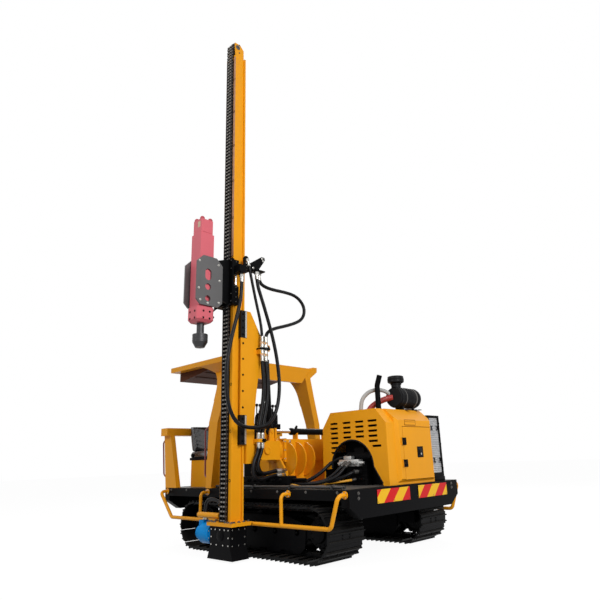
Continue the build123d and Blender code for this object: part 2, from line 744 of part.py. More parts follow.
def exhaust():
    """The exhaust pipe out of the hood's top, bent to the rear and open at its end."""
    x, y = EXHAUST_XY
    route = [(x, y, HOOD_TOP), (x, y, EXHAUST_Z[0]), (x - 50, y, EXHAUST_Z[1])]
    pipe = tube(route, EXHAUST_R, 120)
    mouth = Plane((route[2]), z_dir=Vector(*route[2]) - Vector(*route[1]))
    return pipe - extrude(mouth * Circle(EXHAUST_R - 4), -60)


def canopy():
    """The canopy's frame: two leaning posts that arch into the roof's side boxes, and a rear header."""
    side_view = shape(
        (780, DECK_TOP), (895, DECK_TOP), (960, 1900), (CANOPY_FRONT, 1900), (CANOPY_FRONT, CANOPY_TOP),
        (700, CANOPY_TOP), (730, 2000),
    )
    hole = make_face(
        Polyline((CANOPY_FRONT + 1, 1800), (CANOPY_FRONT + 1, FASCIA_LOW), (1435, FASCIA_LOW))
        + ThreePointArc((1435, FASCIA_LOW), (1110, 2330), (975, 2020))
        + Polyline((975, 2020), (962, 1800), (CANOPY_FRONT + 1, 1800))
    )
    outline = side_view - hole
    band = shape(
        (1080, DECK_TOP), (1015, 1600), (800, 2330), (CANOPY_Y, FASCIA_LOW), (CANOPY_Y, CANOPY_TOP),
        (CANOPY_Y - SIDE_BOX_W, CANOPY_TOP), (730, 2390), (680, 2330), (900, 1600), (985, DECK_TOP),
    )
    left = along_y(outline, (600, 1100)) & along_x(band, (650, CANOPY_FRONT + 10))
    inner = CANOPY_Y - SIDE_BOX_W
    top = CANOPY_TOP - 23
    header = shape(
        (-690, 2340), (-780, 2360), (-inner, top - 40), (-inner, top), (inner, top), (inner, top - 40),
        (780, 2360), (690, 2340), (600, 2240), (-600, 2240),
    )
    return left + mirror_y(left) + along_x(header, HEADER_X)


def canopy_roof():
    """The roof sheet, a shallow tray turned over between the side boxes."""
    half = CANOPY_Y - SIDE_BOX_W - 5
    return block((HEADER_X[0], CANOPY_FRONT - 60), (-half, half), ROOF_Z) - canopy()


def front_guard():
    """The guard behind the seat: two tapered posts that lean forward and a cross bar."""
    outline = shape(
        (GUARD_POST_X[0], DECK_TOP), (GUARD_POST_X[1], DECK_TOP), (RAIL_X, RAIL_Z[0]), (RAIL_X - RAIL_W, RAIL_Z[0]),
    )
    guard = block((RAIL_X - RAIL_W, RAIL_X), (-RAIL_Y - RAIL_OVER, RAIL_Y + RAIL_OVER), RAIL_Z)
    for y in (-RAIL_Y, RAIL_Y - POST_W):
        guard += along_y(outline, (y, y + POST_W))
    return guard


def handrails():
    """The wine-red grab rails on the left posts of the canopy and of the guard."""
    y = 1010
    canopy_rail = tube([(900, y, 850), (1010, y, 900), (1030, y, 1500), (925, y, 1560)], 11, 40)
    guard_rail = tube([(1880, 1050, 860), (1985, 1050, 930), (2035, 1050, 1380), (1940, 1050, 1440)], 11, 40)
    return [canopy_rail - canopy(), guard_rail - front_guard()]


def seat_box():
    """The box under the seat."""
    return block((SEAT_X[0] + 20, SEAT_X[1] - 40), (SEAT_Y[0] + 20, SEAT_Y[1] - 20), (DECK_TOP, BOX_TOP))


def seat():
    """The operator's seat, which faces the mast: cushion and back in one shell."""
    cushion = block(SEAT_X, SEAT_Y, (BOX_TOP, BOX_TOP + 130))
    back = shape(
        (SEAT_X[1] - 130, BOX_TOP + 130), (SEAT_X[1], BOX_TOP + 130), (SEAT_X[1] + 70, 1590), (SEAT_X[1] - 10, 1600),
    )
    return cushion + along_y(back, SEAT_Y)


def control_stand():
    """The lever stand between the seat and the boom, with a valve bank and seven levers."""
    low, high = STAND_Z
    stand = block(STAND_X, STAND_Y, (DECK_TOP, low))
    stand += block((STAND_X[0] - 40, STAND_X[1] + 40), (STAND_Y[0] - 50, STAND_Y[1] + 40), STAND_Z)
    for k in range(LEVERS):
        x, y = STAND_X[0] + 20, STAND_Y[0] - 20 + k * LEVER_PITCH
        stand += bar("Z", (high, LEVER_TOP), (x, y), 8)
        stand += Pos(x, y, LEVER_TOP) * Sphere(20)
    return stand


def tank():
    """The hydraulic tank on the right of the deck."""
    box = block(TANK_X, TANK_Y, (DECK_TOP, TANK_TOP))
    return box + bar("Z", (TANK_TOP, TANK_TOP + 37), (sum(TANK_X) / 2, TANK_Y[0] + 110), 48)


def saddle():
    """The boom's saddle: a box on the deck with curved fins that hug the boom's sides."""
    box = block((-SADDLE_HALF, SADDLE_HALF), SADDLE_Y, (DECK_TOP, OUTER_Z[0]))
    inner = SADDLE_HALF - SADDLE_WALL
    box -= block(
        (-inner, inner), (SADDLE_Y[0] + SADDLE_WALL, SADDLE_Y[1] - SADDLE_WALL), (DECK_TOP - 1, OUTER_Z[0] - SADDLE_WALL)
    )
    box += block((-SADDLE_BASE, SADDLE_BASE), (SADDLE_Y[0] - 60, SADDLE_Y[1] + 60), (DECK_TOP, DECK_TOP + 25))
    fin = make_face(
        ThreePointArc((OUTER_HALF, OUTER_Z[1] - 35), (FIN_OUT, 1075), (SADDLE_HALF, FIN_LOW))
        + Polyline(
            (SADDLE_HALF, FIN_LOW), (SADDLE_HALF, OUTER_Z[0]), (OUTER_HALF, OUTER_Z[0]), (OUTER_HALF, OUTER_Z[1] - 35)
        )
    )
    for y in FIN_Y:
        box += both_sides(along_y(fin, (y - FIN_T / 2, y + FIN_T / 2)))
    return box


def outer_boom():
    """The boom's outer box, with a collar at its mouth and the telescope cylinder's saddles."""
    boom = block((-OUTER_HALF, OUTER_HALF), OUTER_Y, OUTER_Z)
    inside = OUTER_HALF - OUTER_WALL
    boom -= block(
        (-inside, inside), (OUTER_Y[0] + 20, OUTER_Y[1] + 1), (OUTER_Z[0] + OUTER_WALL, OUTER_Z[1] - OUTER_WALL)
    )
    mouth = (OUTER_Y[1] - PAD_LENGTH, OUTER_Y[1])
    pad = block((-inside, -INNER_HALF - SLIDE_FIT), mouth, INNER_Z)
    boom += both_sides(pad)
    for z in ((OUTER_Z[0] + OUTER_WALL, INNER_Z[0] - SLIDE_FIT), (INNER_Z[1] + SLIDE_FIT, OUTER_Z[1] - OUTER_WALL)):
        boom += block((-CRADLE_HALF, CRADLE_HALF), mouth, z)
    for y in STROKE_POST_Y:
        boom += block((-40, 40), (y - 12, y + 12), (OUTER_Z[1] - 1, STROKE_Z - 20))
    boom -= bar("Y", OUTER_Y, (0, STROKE_Z), BARREL_R + FIT)
    return boom


def telescope_barrel():
    """The barrel of the cylinder that pushes the inner boom out, on top of the outer boom."""
    barrel = bar("Y", (-380, 360), (0, STROKE_Z), BARREL_R)
    return barrel - bar("Y", (-350, 361), (0, STROKE_Z), ROD_R + 4 + SLIDE_FIT)


def inner_boom():
    """The inner boom's box, with a round flange at its end and the rod's bracket on top."""
    boom = block((-INNER_HALF, INNER_HALF), (INNER_START, FLANGE_Y[0]), INNER_Z)
    boom -= block(
        (-INNER_HALF + 14, INNER_HALF - 14), (INNER_START - 1, FLANGE_Y[0] - 14), (INNER_Z[0] + 14, INNER_Z[1] - 14)
    )
    boom += bar("Y", FLANGE_Y, (0, BOOM_Z), FLANGE_R)
    boom += block((-40, 40), FLANGE_Y, (BOOM_Z + 100, STROKE_Z + 38))
    boom += along_y(
        shape(
            (DROP_X - 34, ANCHOR_Z - 34), (DROP_X + 34, ANCHOR_Z - 34), (-40, BOOM_Z - FLANGE_R + 12),
            (-110, BOOM_Z - 90), (DROP_X - 34, ANCHOR_Z + 34),
        ),
        ANCHOR_Y,
    )
    return boom + bar("Y", (ANCHOR_Y[1] - 1, BOOM_DROP[-1][0]), (DROP_X, ANCHOR_Z), FITTING_R)


def telescope_rod():
    """The rod of the telescope cylinder, up to the inner boom's bracket."""
    return bar("Y", (-320, FLANGE_Y[0]), (0, STROKE_Z), ROD_R + 4)


def yoke():
    """The yoke that turns on the boom's end: two cheeks with the tilt pin, and the cylinder's lugs."""
    cheek = shape(
        (YOKE_Y[0] - 1, 1075), (YOKE_Y[1] - 60, 1075), (YOKE_Y[1], 1140), (YOKE_Y[1], 1305), (YOKE_Y[0] - 1, 1305),
    )
    piece = both_sides(along_x(cheek, (YOKE_HALF - CHEEK_PLATE, YOKE_HALF)))
    piece += bar("Y", (FLANGE_Y[1] + FIT, YOKE_Y[0]), (0, BOOM_Z), FLANGE_R)
    piece += block((-YOKE_HALF, YOKE_HALF), (YOKE_Y[0] - 2, YOKE_Y[0] + 20), (1075, 1305))
    piece += block((-YOKE_HALF, YOKE_HALF), (YOKE_Y[0] - 2, YOKE_Y[0] + 100), (1285, 1305))
    piece += bar("X", (-YOKE_HALF - 10, YOKE_HALF + 10), (PIN_Y, BOOM_Z), 46)
    piece -= bar("X", (-YOKE_HALF + CHEEK_PLATE, YOKE_HALF - CHEEK_PLATE), (PIN_Y, BOOM_Z), 47)
    piece += bar("X", (-YOKE_HALF - 16, YOKE_HALF + 16), (PIN_Y, BOOM_Z), PIN_R)
    y, z = TILT_BASE
    lug = shape((y - 38, 1300), (y + 45, 1300), (y + 38, z), (y + 22, z + 34), (y - 22, z + 34), (y - 38, z))
    piece += both_sides(along_x(lug, (34, 52)))
    piece += bar("X", (-58, 58), TILT_BASE, 18)
    y = HOLDER_DROP[-1][0]
    low, high = CLAMP_Z
    clamp = block((DROP_X - 34, -YOKE_HALF), (y - 34, y + 34), CLAMP_Z)
    clamp += block((-YOKE_HALF - 14, -YOKE_HALF + 1), (y - 110, y + 34), (low - 15, high - 18))
    return piece + clamp


def tilt_place():
    """The tilt cylinder's axis: its place at the base pin, with Z pointing to the rod's eye."""
    dy = TILT_EYE[0] - TILT_BASE[0]
    dz = TILT_EYE[1] - TILT_BASE[1]
    return Pos(0, *TILT_BASE) * Rot(-math.degrees(math.atan2(dy, dz)), 0, 0)


def tilt_barrel():
    """The tilt cylinder's barrel, with the eye at its base."""
    barrel = bar("Z", (55, BARREL_END), (0, 0), BARREL_R)
    barrel += block((-26, 26), (-26, 26), (10, 60))
    barrel += bar("X", (-32, 32), (0, 0), 36)
    barrel -= bar("Z", (330, BARREL_END + 1), (0, 0), ROD_R + SLIDE_FIT)
    barrel -= bar("X", (-33, 33), (0, 0), 18 + FIT)
    return tilt_place() * barrel


def tilt_rod():
    """The tilt cylinder's rod with its eye and the pin that it turns on."""
    rod = bar("Z", (420, TILT_LENGTH), (0, 0), ROD_R)
    rod += bar("X", (-30, 30), (0, TILT_LENGTH), 38)
    return tilt_place() * rod


def holder():
    """The holder that carries the mast: a curved box girder with a lug for the tilt pin at its foot."""
    low, high = HOLDER_Z
    outline = make_face(
        Polyline(
            (HOLDER_Y[0], low), (HOLDER_Y[1], low), (HOLDER_Y[1], high), (HOLDER_Y[1] - 60, high),
            (BULGE_Y + 8, 2600), (BULGE_Y, 2430),
        )
        + ThreePointArc((BULGE_Y, 2430), (1066, 1990), (HOLDER_Y[0], 1560))
        + Line((HOLDER_Y[0], 1560), (HOLDER_Y[0], low))
    )
    frame = along_x(outline, (-HOLDER_HALF, HOLDER_HALF))
    cavity = make_face(
        Polyline((1136, 1060), (1222, 1060), (1222, 2905), (1195, 2905), (1004, 2590), (1000, 2435))
        + ThreePointArc((1000, 2435), (1086, 1995), (1136, 1565))
        + Line((1136, 1565), (1136, 1060))
    )
    frame -= along_x(cavity, (-HOLDER_HALF + 14, HOLDER_HALF - 14))
    lug = shape((PIN_Y, BOOM_Z - 78), (HOLDER_Y[0] + 5, BOOM_Z - 78), (HOLDER_Y[0] + 5, BOOM_Z + 78), (PIN_Y, BOOM_Z + 78))
    frame += along_x(lug, (-115, 115))
    frame += bar("X", (-115, 115), (PIN_Y, BOOM_Z), 78)
    frame -= bar("X", (-116, 116), (PIN_Y, BOOM_Z), PIN_R + FIT)
    middle = (PAD_Z[0][1], PAD_Z[1][0])
    cheek = block((-HOLDER_HALF, -HOLDER_HALF + 22), (HOLDER_Y[1] - 2, PAD_OUT), middle)
    frame += both_sides(cheek)
    y, z = TILT_EYE
    clevis = shape(
        (BULGE_Y + 10, 2425), (BULGE_Y + 10, 2600), (y + 10, z + 48), (y - 30, z + 40), (y - 44, z),
        (y - 30, z - 40), (y + 10, z - 48),
    )
    frame += both_sides(along_x(clevis, (33, 52)))
    low, high = BULKHEAD_Z
    shelf = block((DROP_X - 38, -HOLDER_HALF + 1), (BULKHEAD_Y[0] - 45, BULKHEAD_Y[1] + 44), (low, high))
    gusset = block((DROP_X - 10, -HOLDER_HALF + 1), (BULKHEAD_Y[1] + 29, BULKHEAD_Y[1] + 44), (low - 60, high))
    frame += shelf + gusset
    for y in BULKHEAD_Y:
        frame += bar("Z", (low - FITTING_LENGTH, high + FITTING_LENGTH), (DROP_X, y), FITTING_R)
    return frame


def wear_pads():
    """Four pads that wrap the edges of the mast's inner flange."""
    face = HOLDER_Y[1]
    pad = shape(
        (-HOLDER_HALF, face), (-HOLDER_HALF, PAD_OUT), (-TUBE_HALF - 5, PAD_OUT),
        (-TUBE_HALF - 5, MAST_IN + RAIL_T + SLIDE_FIT), (-RAIL_HALF - SLIDE_FIT, MAST_IN + RAIL_T + SLIDE_FIT),
        (-RAIL_HALF - SLIDE_FIT, MAST_IN - SLIDE_FIT), (-TUBE_HALF, MAST_IN - SLIDE_FIT), (-TUBE_HALF, face),
    )
    made = []
    for low, high in PAD_Z:
        piece = Pos(0, 0, low) * extrude(pad, high - low)
        made += [piece, mirror(piece, Plane.YZ)]
    return made


def mast():
    """The mast: a box tube between an inner flange and two outer rails, with a channel for the chain."""
    section = Pos(0, MAST_IN + RAIL_T / 2) * Rectangle(2 * RAIL_HALF, RAIL_T)
    depth = MAST_OUT - MAST_IN - 2 * RAIL_T
    middle = (MAST_IN + MAST_OUT) / 2
    section += Pos(0, middle) * Rectangle(2 * TUBE_HALF, depth)
    section -= Pos(0, middle) * Rectangle(2 * (TUBE_HALF - TUBE_WALL), depth - 2 * TUBE_WALL)
    for side in (-1, 1):
        rail = RAIL_HALF - CHANNEL_HALF
        section += Pos(side * (CHANNEL_HALF + rail / 2), MAST_OUT - RAIL_T / 2) * Rectangle(rail, RAIL_T)
    column = Pos(0, 0, MAST_LOW) * extrude(section, MAST_TOP - MAST_LOW)
    across = (-FOOT_PLATE_X, FOOT_PLATE_X)
    plate = block(across, (MAST_IN - 14, FOOT_Y[1] + 20), (MAST_LOW - FOOT_PLATE, MAST_LOW))
    plate -= block(
        (-CHANNEL_HALF, CHANNEL_HALF),
        (CHAIN_Y - CHAIN_R - CHAIN_T, CHAIN_Y + CHAIN_R + CHAIN_T),
        (MAST_LOW - FOOT_PLATE - 1, MAST_LOW + 1),
    )
    column += plate
    ear = make_face(
        Polyline(
            (MAST_IN + RAIL_T, MAST_TOP - EAR_LOW), (MAST_OUT - RAIL_T, MAST_TOP - EAR_LOW), (MAST_OUT, CHAIN_Z[1]),
            (CHAIN_Y + 50, CHAIN_Z[1] + 66), (CHAIN_Y - 50, CHAIN_Z[1] + 66), (MAST_IN + RAIL_T, CHAIN_Z[1]),
            close=True,
        )
    )
    column += both_sides(along_x(ear, (TUBE_HALF - TUBE_WALL - 2, TUBE_HALF)))
    return column


def mast_foot():
    """The bolted foot box under the mast, flared at its skirt, open inside for the lower sprocket."""
    x0, x1 = FOOT_X
    y0, y1 = FOOT_Y
    box = block((x0, x1), (y0, y1), FOOT_Z)
    skirt = shape((x0, SKIRT_Z), (x0 - SKIRT_OUT, FOOT_Z[0]), (x1 + SKIRT_OUT, FOOT_Z[0]), (x1, SKIRT_Z))
    box += along_y(skirt, FOOT_Y)
    inner_y = (y0 + FOOT_WALL, y1 - FOOT_WALL)
    return box - block((-FOOT_INNER_X, FOOT_INNER_X), inner_y, (FOOT_Z[0] + 40, FOOT_Z[1] + 1))


def chain():
    """The feed chain as one closed loop over both sprockets, waisted between its outer plates."""
    low, high = CHAIN_Z
    half = CHAIN_T / 2
    outer = CHAIN_R + half
    count = int((high - low) / (2 * CHAIN_PITCH))
    step = (high - low) / count
    # The outer side of one strand, up from the lower sprocket: a waist in the middle of each step
    strand = [(outer, low)]
    for k in range(count):
        for share, depth in ((0.38, 0), (0.5, CHAIN_WAIST), (0.62, 0)):
            strand.append((outer - depth, low + (k + share) * step))
    strand.append((outer, high))
    left = [(CHAIN_Y + r, z) for r, z in strand]
    right = [(CHAIN_Y - r, z) for r, z in reversed(strand)]
    loop = make_face(
        Polyline(*left)
        + ThreePointArc(left[-1], (CHAIN_Y, high + outer), right[0])
        + Polyline(*right)
        + ThreePointArc(right[-1], (CHAIN_Y, low - outer), left[0])
    )
    loop -= Pos(CHAIN_Y, (low + high) / 2) * Rot(0, 0, 90) * SlotCenterToCenter(high - low, 2 * (CHAIN_R - half))
    return along_x(loop, (-CHAIN_HALF_W, CHAIN_HALF_W))


def chain_sprockets():
    """The idler at the mast's top and the drive sprocket in its foot."""
    radius = CHAIN_R - CHAIN_T / 2 - FIT
    pocket = bar("X", (-51, 51), (radius + 3, 0), 10)
    wheel = bar("X", (-50, 50), (0, 0), radius)
    for k in range(TEETH):
        wheel -= Rot(360 * k / TEETH, 0, 0) * pocket
    reach = FOOT_INNER_X - FIT
    lower = Pos(0, CHAIN_Y, CHAIN_Z[0]) * (wheel + bar("X", (-reach, reach), (0, 0), 28))
    reach = TUBE_HALF - TUBE_WALL - 2 - FIT
    upper = Pos(0, CHAIN_Y, CHAIN_Z[1]) * (wheel + bar("X", (-reach, reach), (0, 0), 24))
    return [lower, upper]


def feed_motor():
    """The feed's gear motor on the front of the foot, in line with the lower sprocket."""
    x = FOOT_X[1]
    centre = (CHAIN_Y, CHAIN_Z[0])
    ports = block((x + 235, x + 315), (CHAIN_Y - 45, CHAIN_Y + 45), (CHAIN_Z[0] + 60, CHAIN_Z[0] + 140))
    return ports + [bar("X", (x + start, x + end), centre, radius) for start, end, radius in MOTOR_STEPS]


def motor_guard():
    """The round bar that guards the feed motor, out from the mast's front."""
    y, z = GUARD_BAR
    return bar("X", (RAIL_HALF, GUARD_BAR_END), GUARD_BAR, GUARD_BAR_R) + Pos(GUARD_BAR_END, y, z) * Sphere(GUARD_BAR_R)


def carriage():
    """The carriage: it wraps the outer rails and holds the hammer plates in front of the chain."""
    low, high = CARRIAGE_Z
    front = (CHAIN_Y + CHAIN_R + CHAIN_T / 2 + 9, CHAIN_Y + CHAIN_R + CHAIN_T / 2 + 39)
    body = block((-190, 190), front, (low, high))
    for clamp in ((low, low + CLAMP_LOW), (high - CLAMP_HIGH, high)):
        body += both_sides(block((-CLAMP_X, -RAIL_HALF - 6), (GRIP_IN, front[0] + 1), clamp))
        body += both_sides(block((-RAIL_HALF - 7, -TUBE_HALF - 6), (GRIP_IN, MAST_OUT - RAIL_T - 6), clamp))
    for x, y in ROD_PLACES:
        body += bar("Z", (low + CLAMP_LOW - 1, high - CLAMP_HIGH + 1), (x, y), 13)
    for pad in ((low, low + CLAMP_PAD), (high - CLAMP_PAD, high)):
        edge = (MAST_OUT - RAIL_T, MAST_OUT)
        body += both_sides(block((-RAIL_HALF - 7, -RAIL_HALF - SLIDE_FIT), edge, pad))
        body += both_sides(block((-RAIL_HALF + 4, -CHANNEL_HALF - 4), (MAST_OUT + SLIDE_FIT, front[0] + 1), pad))
    web = shape((front[1] - 1, low), (PLATE_Y[0] + 110, low + 60), (PLATE_Y[0] + 110, high - 80), (front[1] - 1, high))
    body += both_sides(along_x(web, (PLATE_X[0] - 30, PLATE_X[0])))
    body += block((SHELF_X[0], -CLAMP_X + 10), HOSE_BLOCK_Y, HOSE_BLOCK_Z)
    y, z = LOOP_BACK[-1]
    return body + bar("Z", (z, HOSE_BLOCK_Z[0] + 1), (LOOP_X, y), FITTING_R)


def hose_arm():
    """The arm on the mast's inner flange: a bent plate with a shelf that the hoses leave from."""
    low, high = SHELF_Z
    outline = shape(
        (1345, low), (1345, 3545), (1205, 3600), (1010, 3735), (960, 3735), (950, 3700), (985, 3645), (1055, 3545),
        (1050, low),
    )
    arm = along_x(outline, ARM_X)
    arm += block((ARM_X[0], -RAIL_HALF + 40), (MAST_IN - 25, MAST_IN), (low, 3590))
    arm += block(SHELF_X, (1050, 1212), SHELF_Z) + block((DROP_X - 30, ARM_X[1]), (1295, 1345), SHELF_Z)
    for x, (y, z) in ((LOOP_X, LOOP_OUT[0]), (DROP_X, BOW[0])):
        arm += bar("Z", (z, low + 1), (x, y), FITTING_R)
    (y, z), (next_y, next_z) = ARCHED[:2]
    back = (DROP_X, y + 0.4 * (y - next_y), z + 0.4 * (z - next_z))
    elbow = [(DROP_X, y + 49, high - 1), (DROP_X, y + 49, z + 27), back, (DROP_X, y, z)]
    return arm + tube(elbow, ARCHED_HOSE_R + 2, 14)


def hammer_plates():
    """The two side plates that hold the hammer, each with a slot, a round hole and a lower notch."""
    y0, y1 = PLATE_Y
    low, high = PLATE_Z
    outline = shape(
        (y0, low + 60), (y0 + 60, low), (y1 - 60, low), (y1, low + 60), (y1, high - 90), (y1 - 90, high),
        (y0 + 90, high), (y0, high - 90),
    )
    for z, width, length in PLATE_HOLES:
        hole = Circle(width / 2) if length == width else Rot(0, 0, 90) * SlotOverall(length, width)
        outline -= Pos(HAMMER_Y, z) * hole
    plate = along_x(outline, PLATE_X)
    return [plate, mirror(plate, Plane.YZ)]


def hammer_body():
    """The hammer: a narrow head with tie rods, a square body and a bevelled nose with the tool's bore."""
    body = block((-BODY_HALF, BODY_HALF), (HAMMER_Y - BODY_HALF, HAMMER_Y + BODY_HALF), BODY_Z)
    body += block((-HEAD_HALF, HEAD_HALF), (HAMMER_Y - HEAD_HALF, HAMMER_Y + HEAD_HALF), (BODY_Z[1], HEAD_TOP))
    nose = block((-NOSE_HALF, NOSE_HALF), (HAMMER_Y - NOSE_HALF, HAMMER_Y + NOSE_HALF), (NOSE_LOW, BODY_Z[0] + 1))
    nose = chamfer(nose.edges().filter_by(Axis.Z), NOSE_BEVEL)
    body += chamfer(nose.faces().sort_by(Axis.Z)[0].edges(), NOSE_BEVEL)
    body += both_sides(block((-PLATE_X[0], -BODY_HALF + 1), (HAMMER_Y - 80, HAMMER_Y + 80), SIDE_LUG_Z))
    for x in (-TIE_ROD, TIE_ROD):
        for y in (-TIE_ROD, TIE_ROD):
            body += bar("Z", (HEAD_TOP, HEAD_TOP + 35), (x, HAMMER_Y + y), 20)
    body -= bar("Z", (NOSE_LOW - 1, NOSE_LOW + 300), (0, HAMMER_Y), SHANK_R + SLIDE_FIT)
    return body


def tool():
    """The drive cap on its shank."""
    shank = bar("Z", (CAP_Z[2], NOSE_LOW + 200), (0, HAMMER_Y), SHANK_R)
    shank += bar("Z", (CAP_Z[1], CAP_Z[2]), (0, HAMMER_Y), CAP_R)
    middle = (CAP_Z[0] + CAP_Z[1]) / 2
    shank += Pos(0, HAMMER_Y, middle) * Cone(CAP_R - 36, CAP_R, CAP_Z[1] - CAP_Z[0])
    return shank


os.makedirs("parts", exist_ok=True)

LEFT_RIGHT = (
    ("track", track_loop()),
    ("track_frame", track_frame()),
    ("side_guard", side_guard()),
)
for name, piece in LEFT_RIGHT:
    save(f"{name}_left", piece)
    save(f"{name}_right", mirror_y(piece))

wheel = idler()
save("idlers", wheel, mirror_y(wheel))
wheel = sprocket()
save("drive_sprockets", wheel, mirror_y(wheel))
made = rollers()
save("track_rollers", *made, *[mirror_y(roller) for roller in made])

save("cross_frame", cross_frame())
save("deck_frame", deck_frame())
save("deck_floor", deck_floor())
save("front_apron", front_apron())
save("hood_left", hood_side((HOOD_LEFT - HOOD_T, HOOD_LEFT), True))
save("hood_right", hood_side((HOOD_RIGHT, HOOD_RIGHT + HOOD_T), False))
save("hood_cover", hood_cover())
save("rear_door", rear_door())
save("door_latch", door_latch())
save("engine_block", engine())
save("hydraulic_pump", pump())
save("cooler_frame", cooler())
save("cooler_core", cooler_core())
save("air_filter", air_filter())
save("pre_cleaner", pre_cleaner())
save("exhaust", exhaust())
save("canopy_frame", canopy())
save("canopy_roof", canopy_roof())
save("front_guard", front_guard())
save("handrails", *handrails())
save("seat_box", seat_box())
save("seat", seat())
save("control_stand", control_stand())
save("hydraulic_tank", tank())
save("boom_saddle", saddle())
save("outer_boom", outer_boom())
save("telescope_barrel", telescope_barrel())
save("inner_boom", inner_boom())
save("telescope_rod", telescope_rod())
save("yoke", yoke())
save("tilt_barrel", tilt_barrel())
save("tilt_rod", tilt_rod())
save("mast_holder", holder())
save("wear_pads", *wear_pads())
save("mast", mast())
save("mast_foot", mast_foot())
save("feed_chain", chain())
save("chain_sprockets", *chain_sprockets())
save("feed_motor", feed_motor())
save("motor_guard", motor_guard())
save("carriage", carriage())
save("hose_arm", hose_arm())
save("hammer_plates", *hammer_plates())
save("hose_loop_out", hose("hose_loop_out", LOOP_X, LOOP_OUT))
save("hose_loop_back", hose("hose_loop_back", LOOP_X, LOOP_BACK))
save("hose_arched", hose("hose_arched", DROP_X, ARCHED, ARCHED_HOSE_R))
save("hose_bow", hose("hose_bow", DROP_X, BOW))
save("hose_holder_drop", hose("hose_holder_drop", DROP_X, HOLDER_DROP))
save("hose_boom_drop", hose("hose_boom_drop", DROP_X, BOOM_DROP))
save("hammer_body", hammer_body())
save("drive_cap", tool())
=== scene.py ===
"""Finishes and detail for a tracked pile driver rig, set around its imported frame."""
import json
import math
from itertools import product

import bmesh
import bpy
from mathutils import Matrix, Vector

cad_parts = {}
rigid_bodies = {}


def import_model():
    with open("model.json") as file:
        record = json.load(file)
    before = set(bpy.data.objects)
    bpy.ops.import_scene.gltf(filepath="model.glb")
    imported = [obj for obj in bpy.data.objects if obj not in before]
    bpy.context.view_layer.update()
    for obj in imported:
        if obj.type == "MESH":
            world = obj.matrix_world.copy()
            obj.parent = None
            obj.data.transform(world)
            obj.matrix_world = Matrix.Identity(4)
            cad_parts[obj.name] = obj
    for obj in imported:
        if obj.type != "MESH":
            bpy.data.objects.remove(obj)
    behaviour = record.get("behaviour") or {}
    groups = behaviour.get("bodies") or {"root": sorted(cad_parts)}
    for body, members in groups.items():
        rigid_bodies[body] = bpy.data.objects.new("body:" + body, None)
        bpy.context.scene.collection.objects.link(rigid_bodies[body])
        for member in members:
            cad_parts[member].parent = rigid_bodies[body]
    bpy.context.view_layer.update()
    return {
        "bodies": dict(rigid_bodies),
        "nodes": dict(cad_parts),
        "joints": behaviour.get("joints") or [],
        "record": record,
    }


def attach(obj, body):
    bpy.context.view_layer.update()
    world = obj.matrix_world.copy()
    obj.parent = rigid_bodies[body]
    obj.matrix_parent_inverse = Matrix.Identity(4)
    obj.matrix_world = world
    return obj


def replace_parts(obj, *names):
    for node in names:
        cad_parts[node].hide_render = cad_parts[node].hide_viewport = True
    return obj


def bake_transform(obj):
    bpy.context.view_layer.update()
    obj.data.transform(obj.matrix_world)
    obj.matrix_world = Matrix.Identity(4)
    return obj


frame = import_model()
nodes = frame["nodes"]

# Directions in the frame: X runs to the front, Y to the mast's side
FRONT, REAR, LEFT, RIGHT, UP, DOWN = (1, 0, 0), (-1, 0, 0), (0, 1, 0), (0, -1, 0), (0, 0, 1), (0, 0, -1)
SIDES = (-1, 1)

# The view: a photographer stands at the machine's left rear corner and looks slightly up,
# so both the chain side of the mast and the hood's rear end show.
EYE = Vector((-5.596, 5.105, 1.065))
YAW, PITCH, ROLL = -0.8229, 0.2998, -0.0366
FOCAL_PIXELS = 533.3
FRAME_PIXELS = 600
SENSOR_MM = 36
AXIS_PIXEL = (316.6, 294.1)

ahead = Vector((math.cos(PITCH) * math.cos(YAW), math.cos(PITCH) * math.sin(YAW), math.sin(PITCH)))
level_right = ahead.cross(Vector(UP)).normalized()
level_up = level_right.cross(ahead)
right = math.cos(ROLL) * level_right + math.sin(ROLL) * level_up
up = -math.sin(ROLL) * level_right + math.cos(ROLL) * level_up
lens = bpy.data.cameras.new("camera")
lens.sensor_width = SENSOR_MM
lens.lens = SENSOR_MM * FOCAL_PIXELS / FRAME_PIXELS
lens.shift_x = 0.5 - AXIS_PIXEL[0] / FRAME_PIXELS
lens.shift_y = AXIS_PIXEL[1] / FRAME_PIXELS - 0.5
camera = bpy.data.objects.new("camera", lens)
camera.matrix_world = Matrix((right, up, -ahead)).transposed().to_4x4()
camera.location = EYE
bpy.context.collection.objects.link(camera)
bpy.context.scene.camera = camera
bpy.context.scene.view_settings.view_transform = "Standard"

# The studio: an even surround, one large soft lamp from the mast's side, a stronger one from the
# hood's side and one behind. Surround and floor show white and keep the contact shadow.
SURROUND = 0.37
FLOOR_WHITE = 0.80
FLOOR_GLOW = 1.18
FLOOR_HALF = 60
WHITE = (1, 1, 1, 1)


def fill(tree, made, inputs):
    """Sets inputs of a shader node, each to a plain value or to the socket that feeds it."""
    for name, value in inputs.items():
        if isinstance(value, bpy.types.NodeSocket):
            tree.links.new(value, made.inputs[name])
        else:
            made.inputs[name].default_value = value


def node(tree, kind, inputs=(), **settings):
    """The outputs of a new shader node with these settings and inputs."""
    made = tree.nodes.new("ShaderNode" + kind)
    for name, value in settings.items():
        setattr(made, name, value)
    fill(tree, made, dict(inputs))
    return made.outputs


def reckon(tree, operation, *values):
    """The result of a sum in the shader."""
    return node(tree, "Math", enumerate(values), operation=operation)[0]


def seen_straight(tree):
    """A value that is 1 for what the lens, a mirror or glass sees, and 0 for what lights the machine."""
    rays = node(tree, "LightPath")
    direct = reckon(tree, "MAXIMUM", rays["Is Camera Ray"], rays["Is Glossy Ray"])
    return reckon(tree, "MAXIMUM", direct, rays["Is Transmission Ray"])


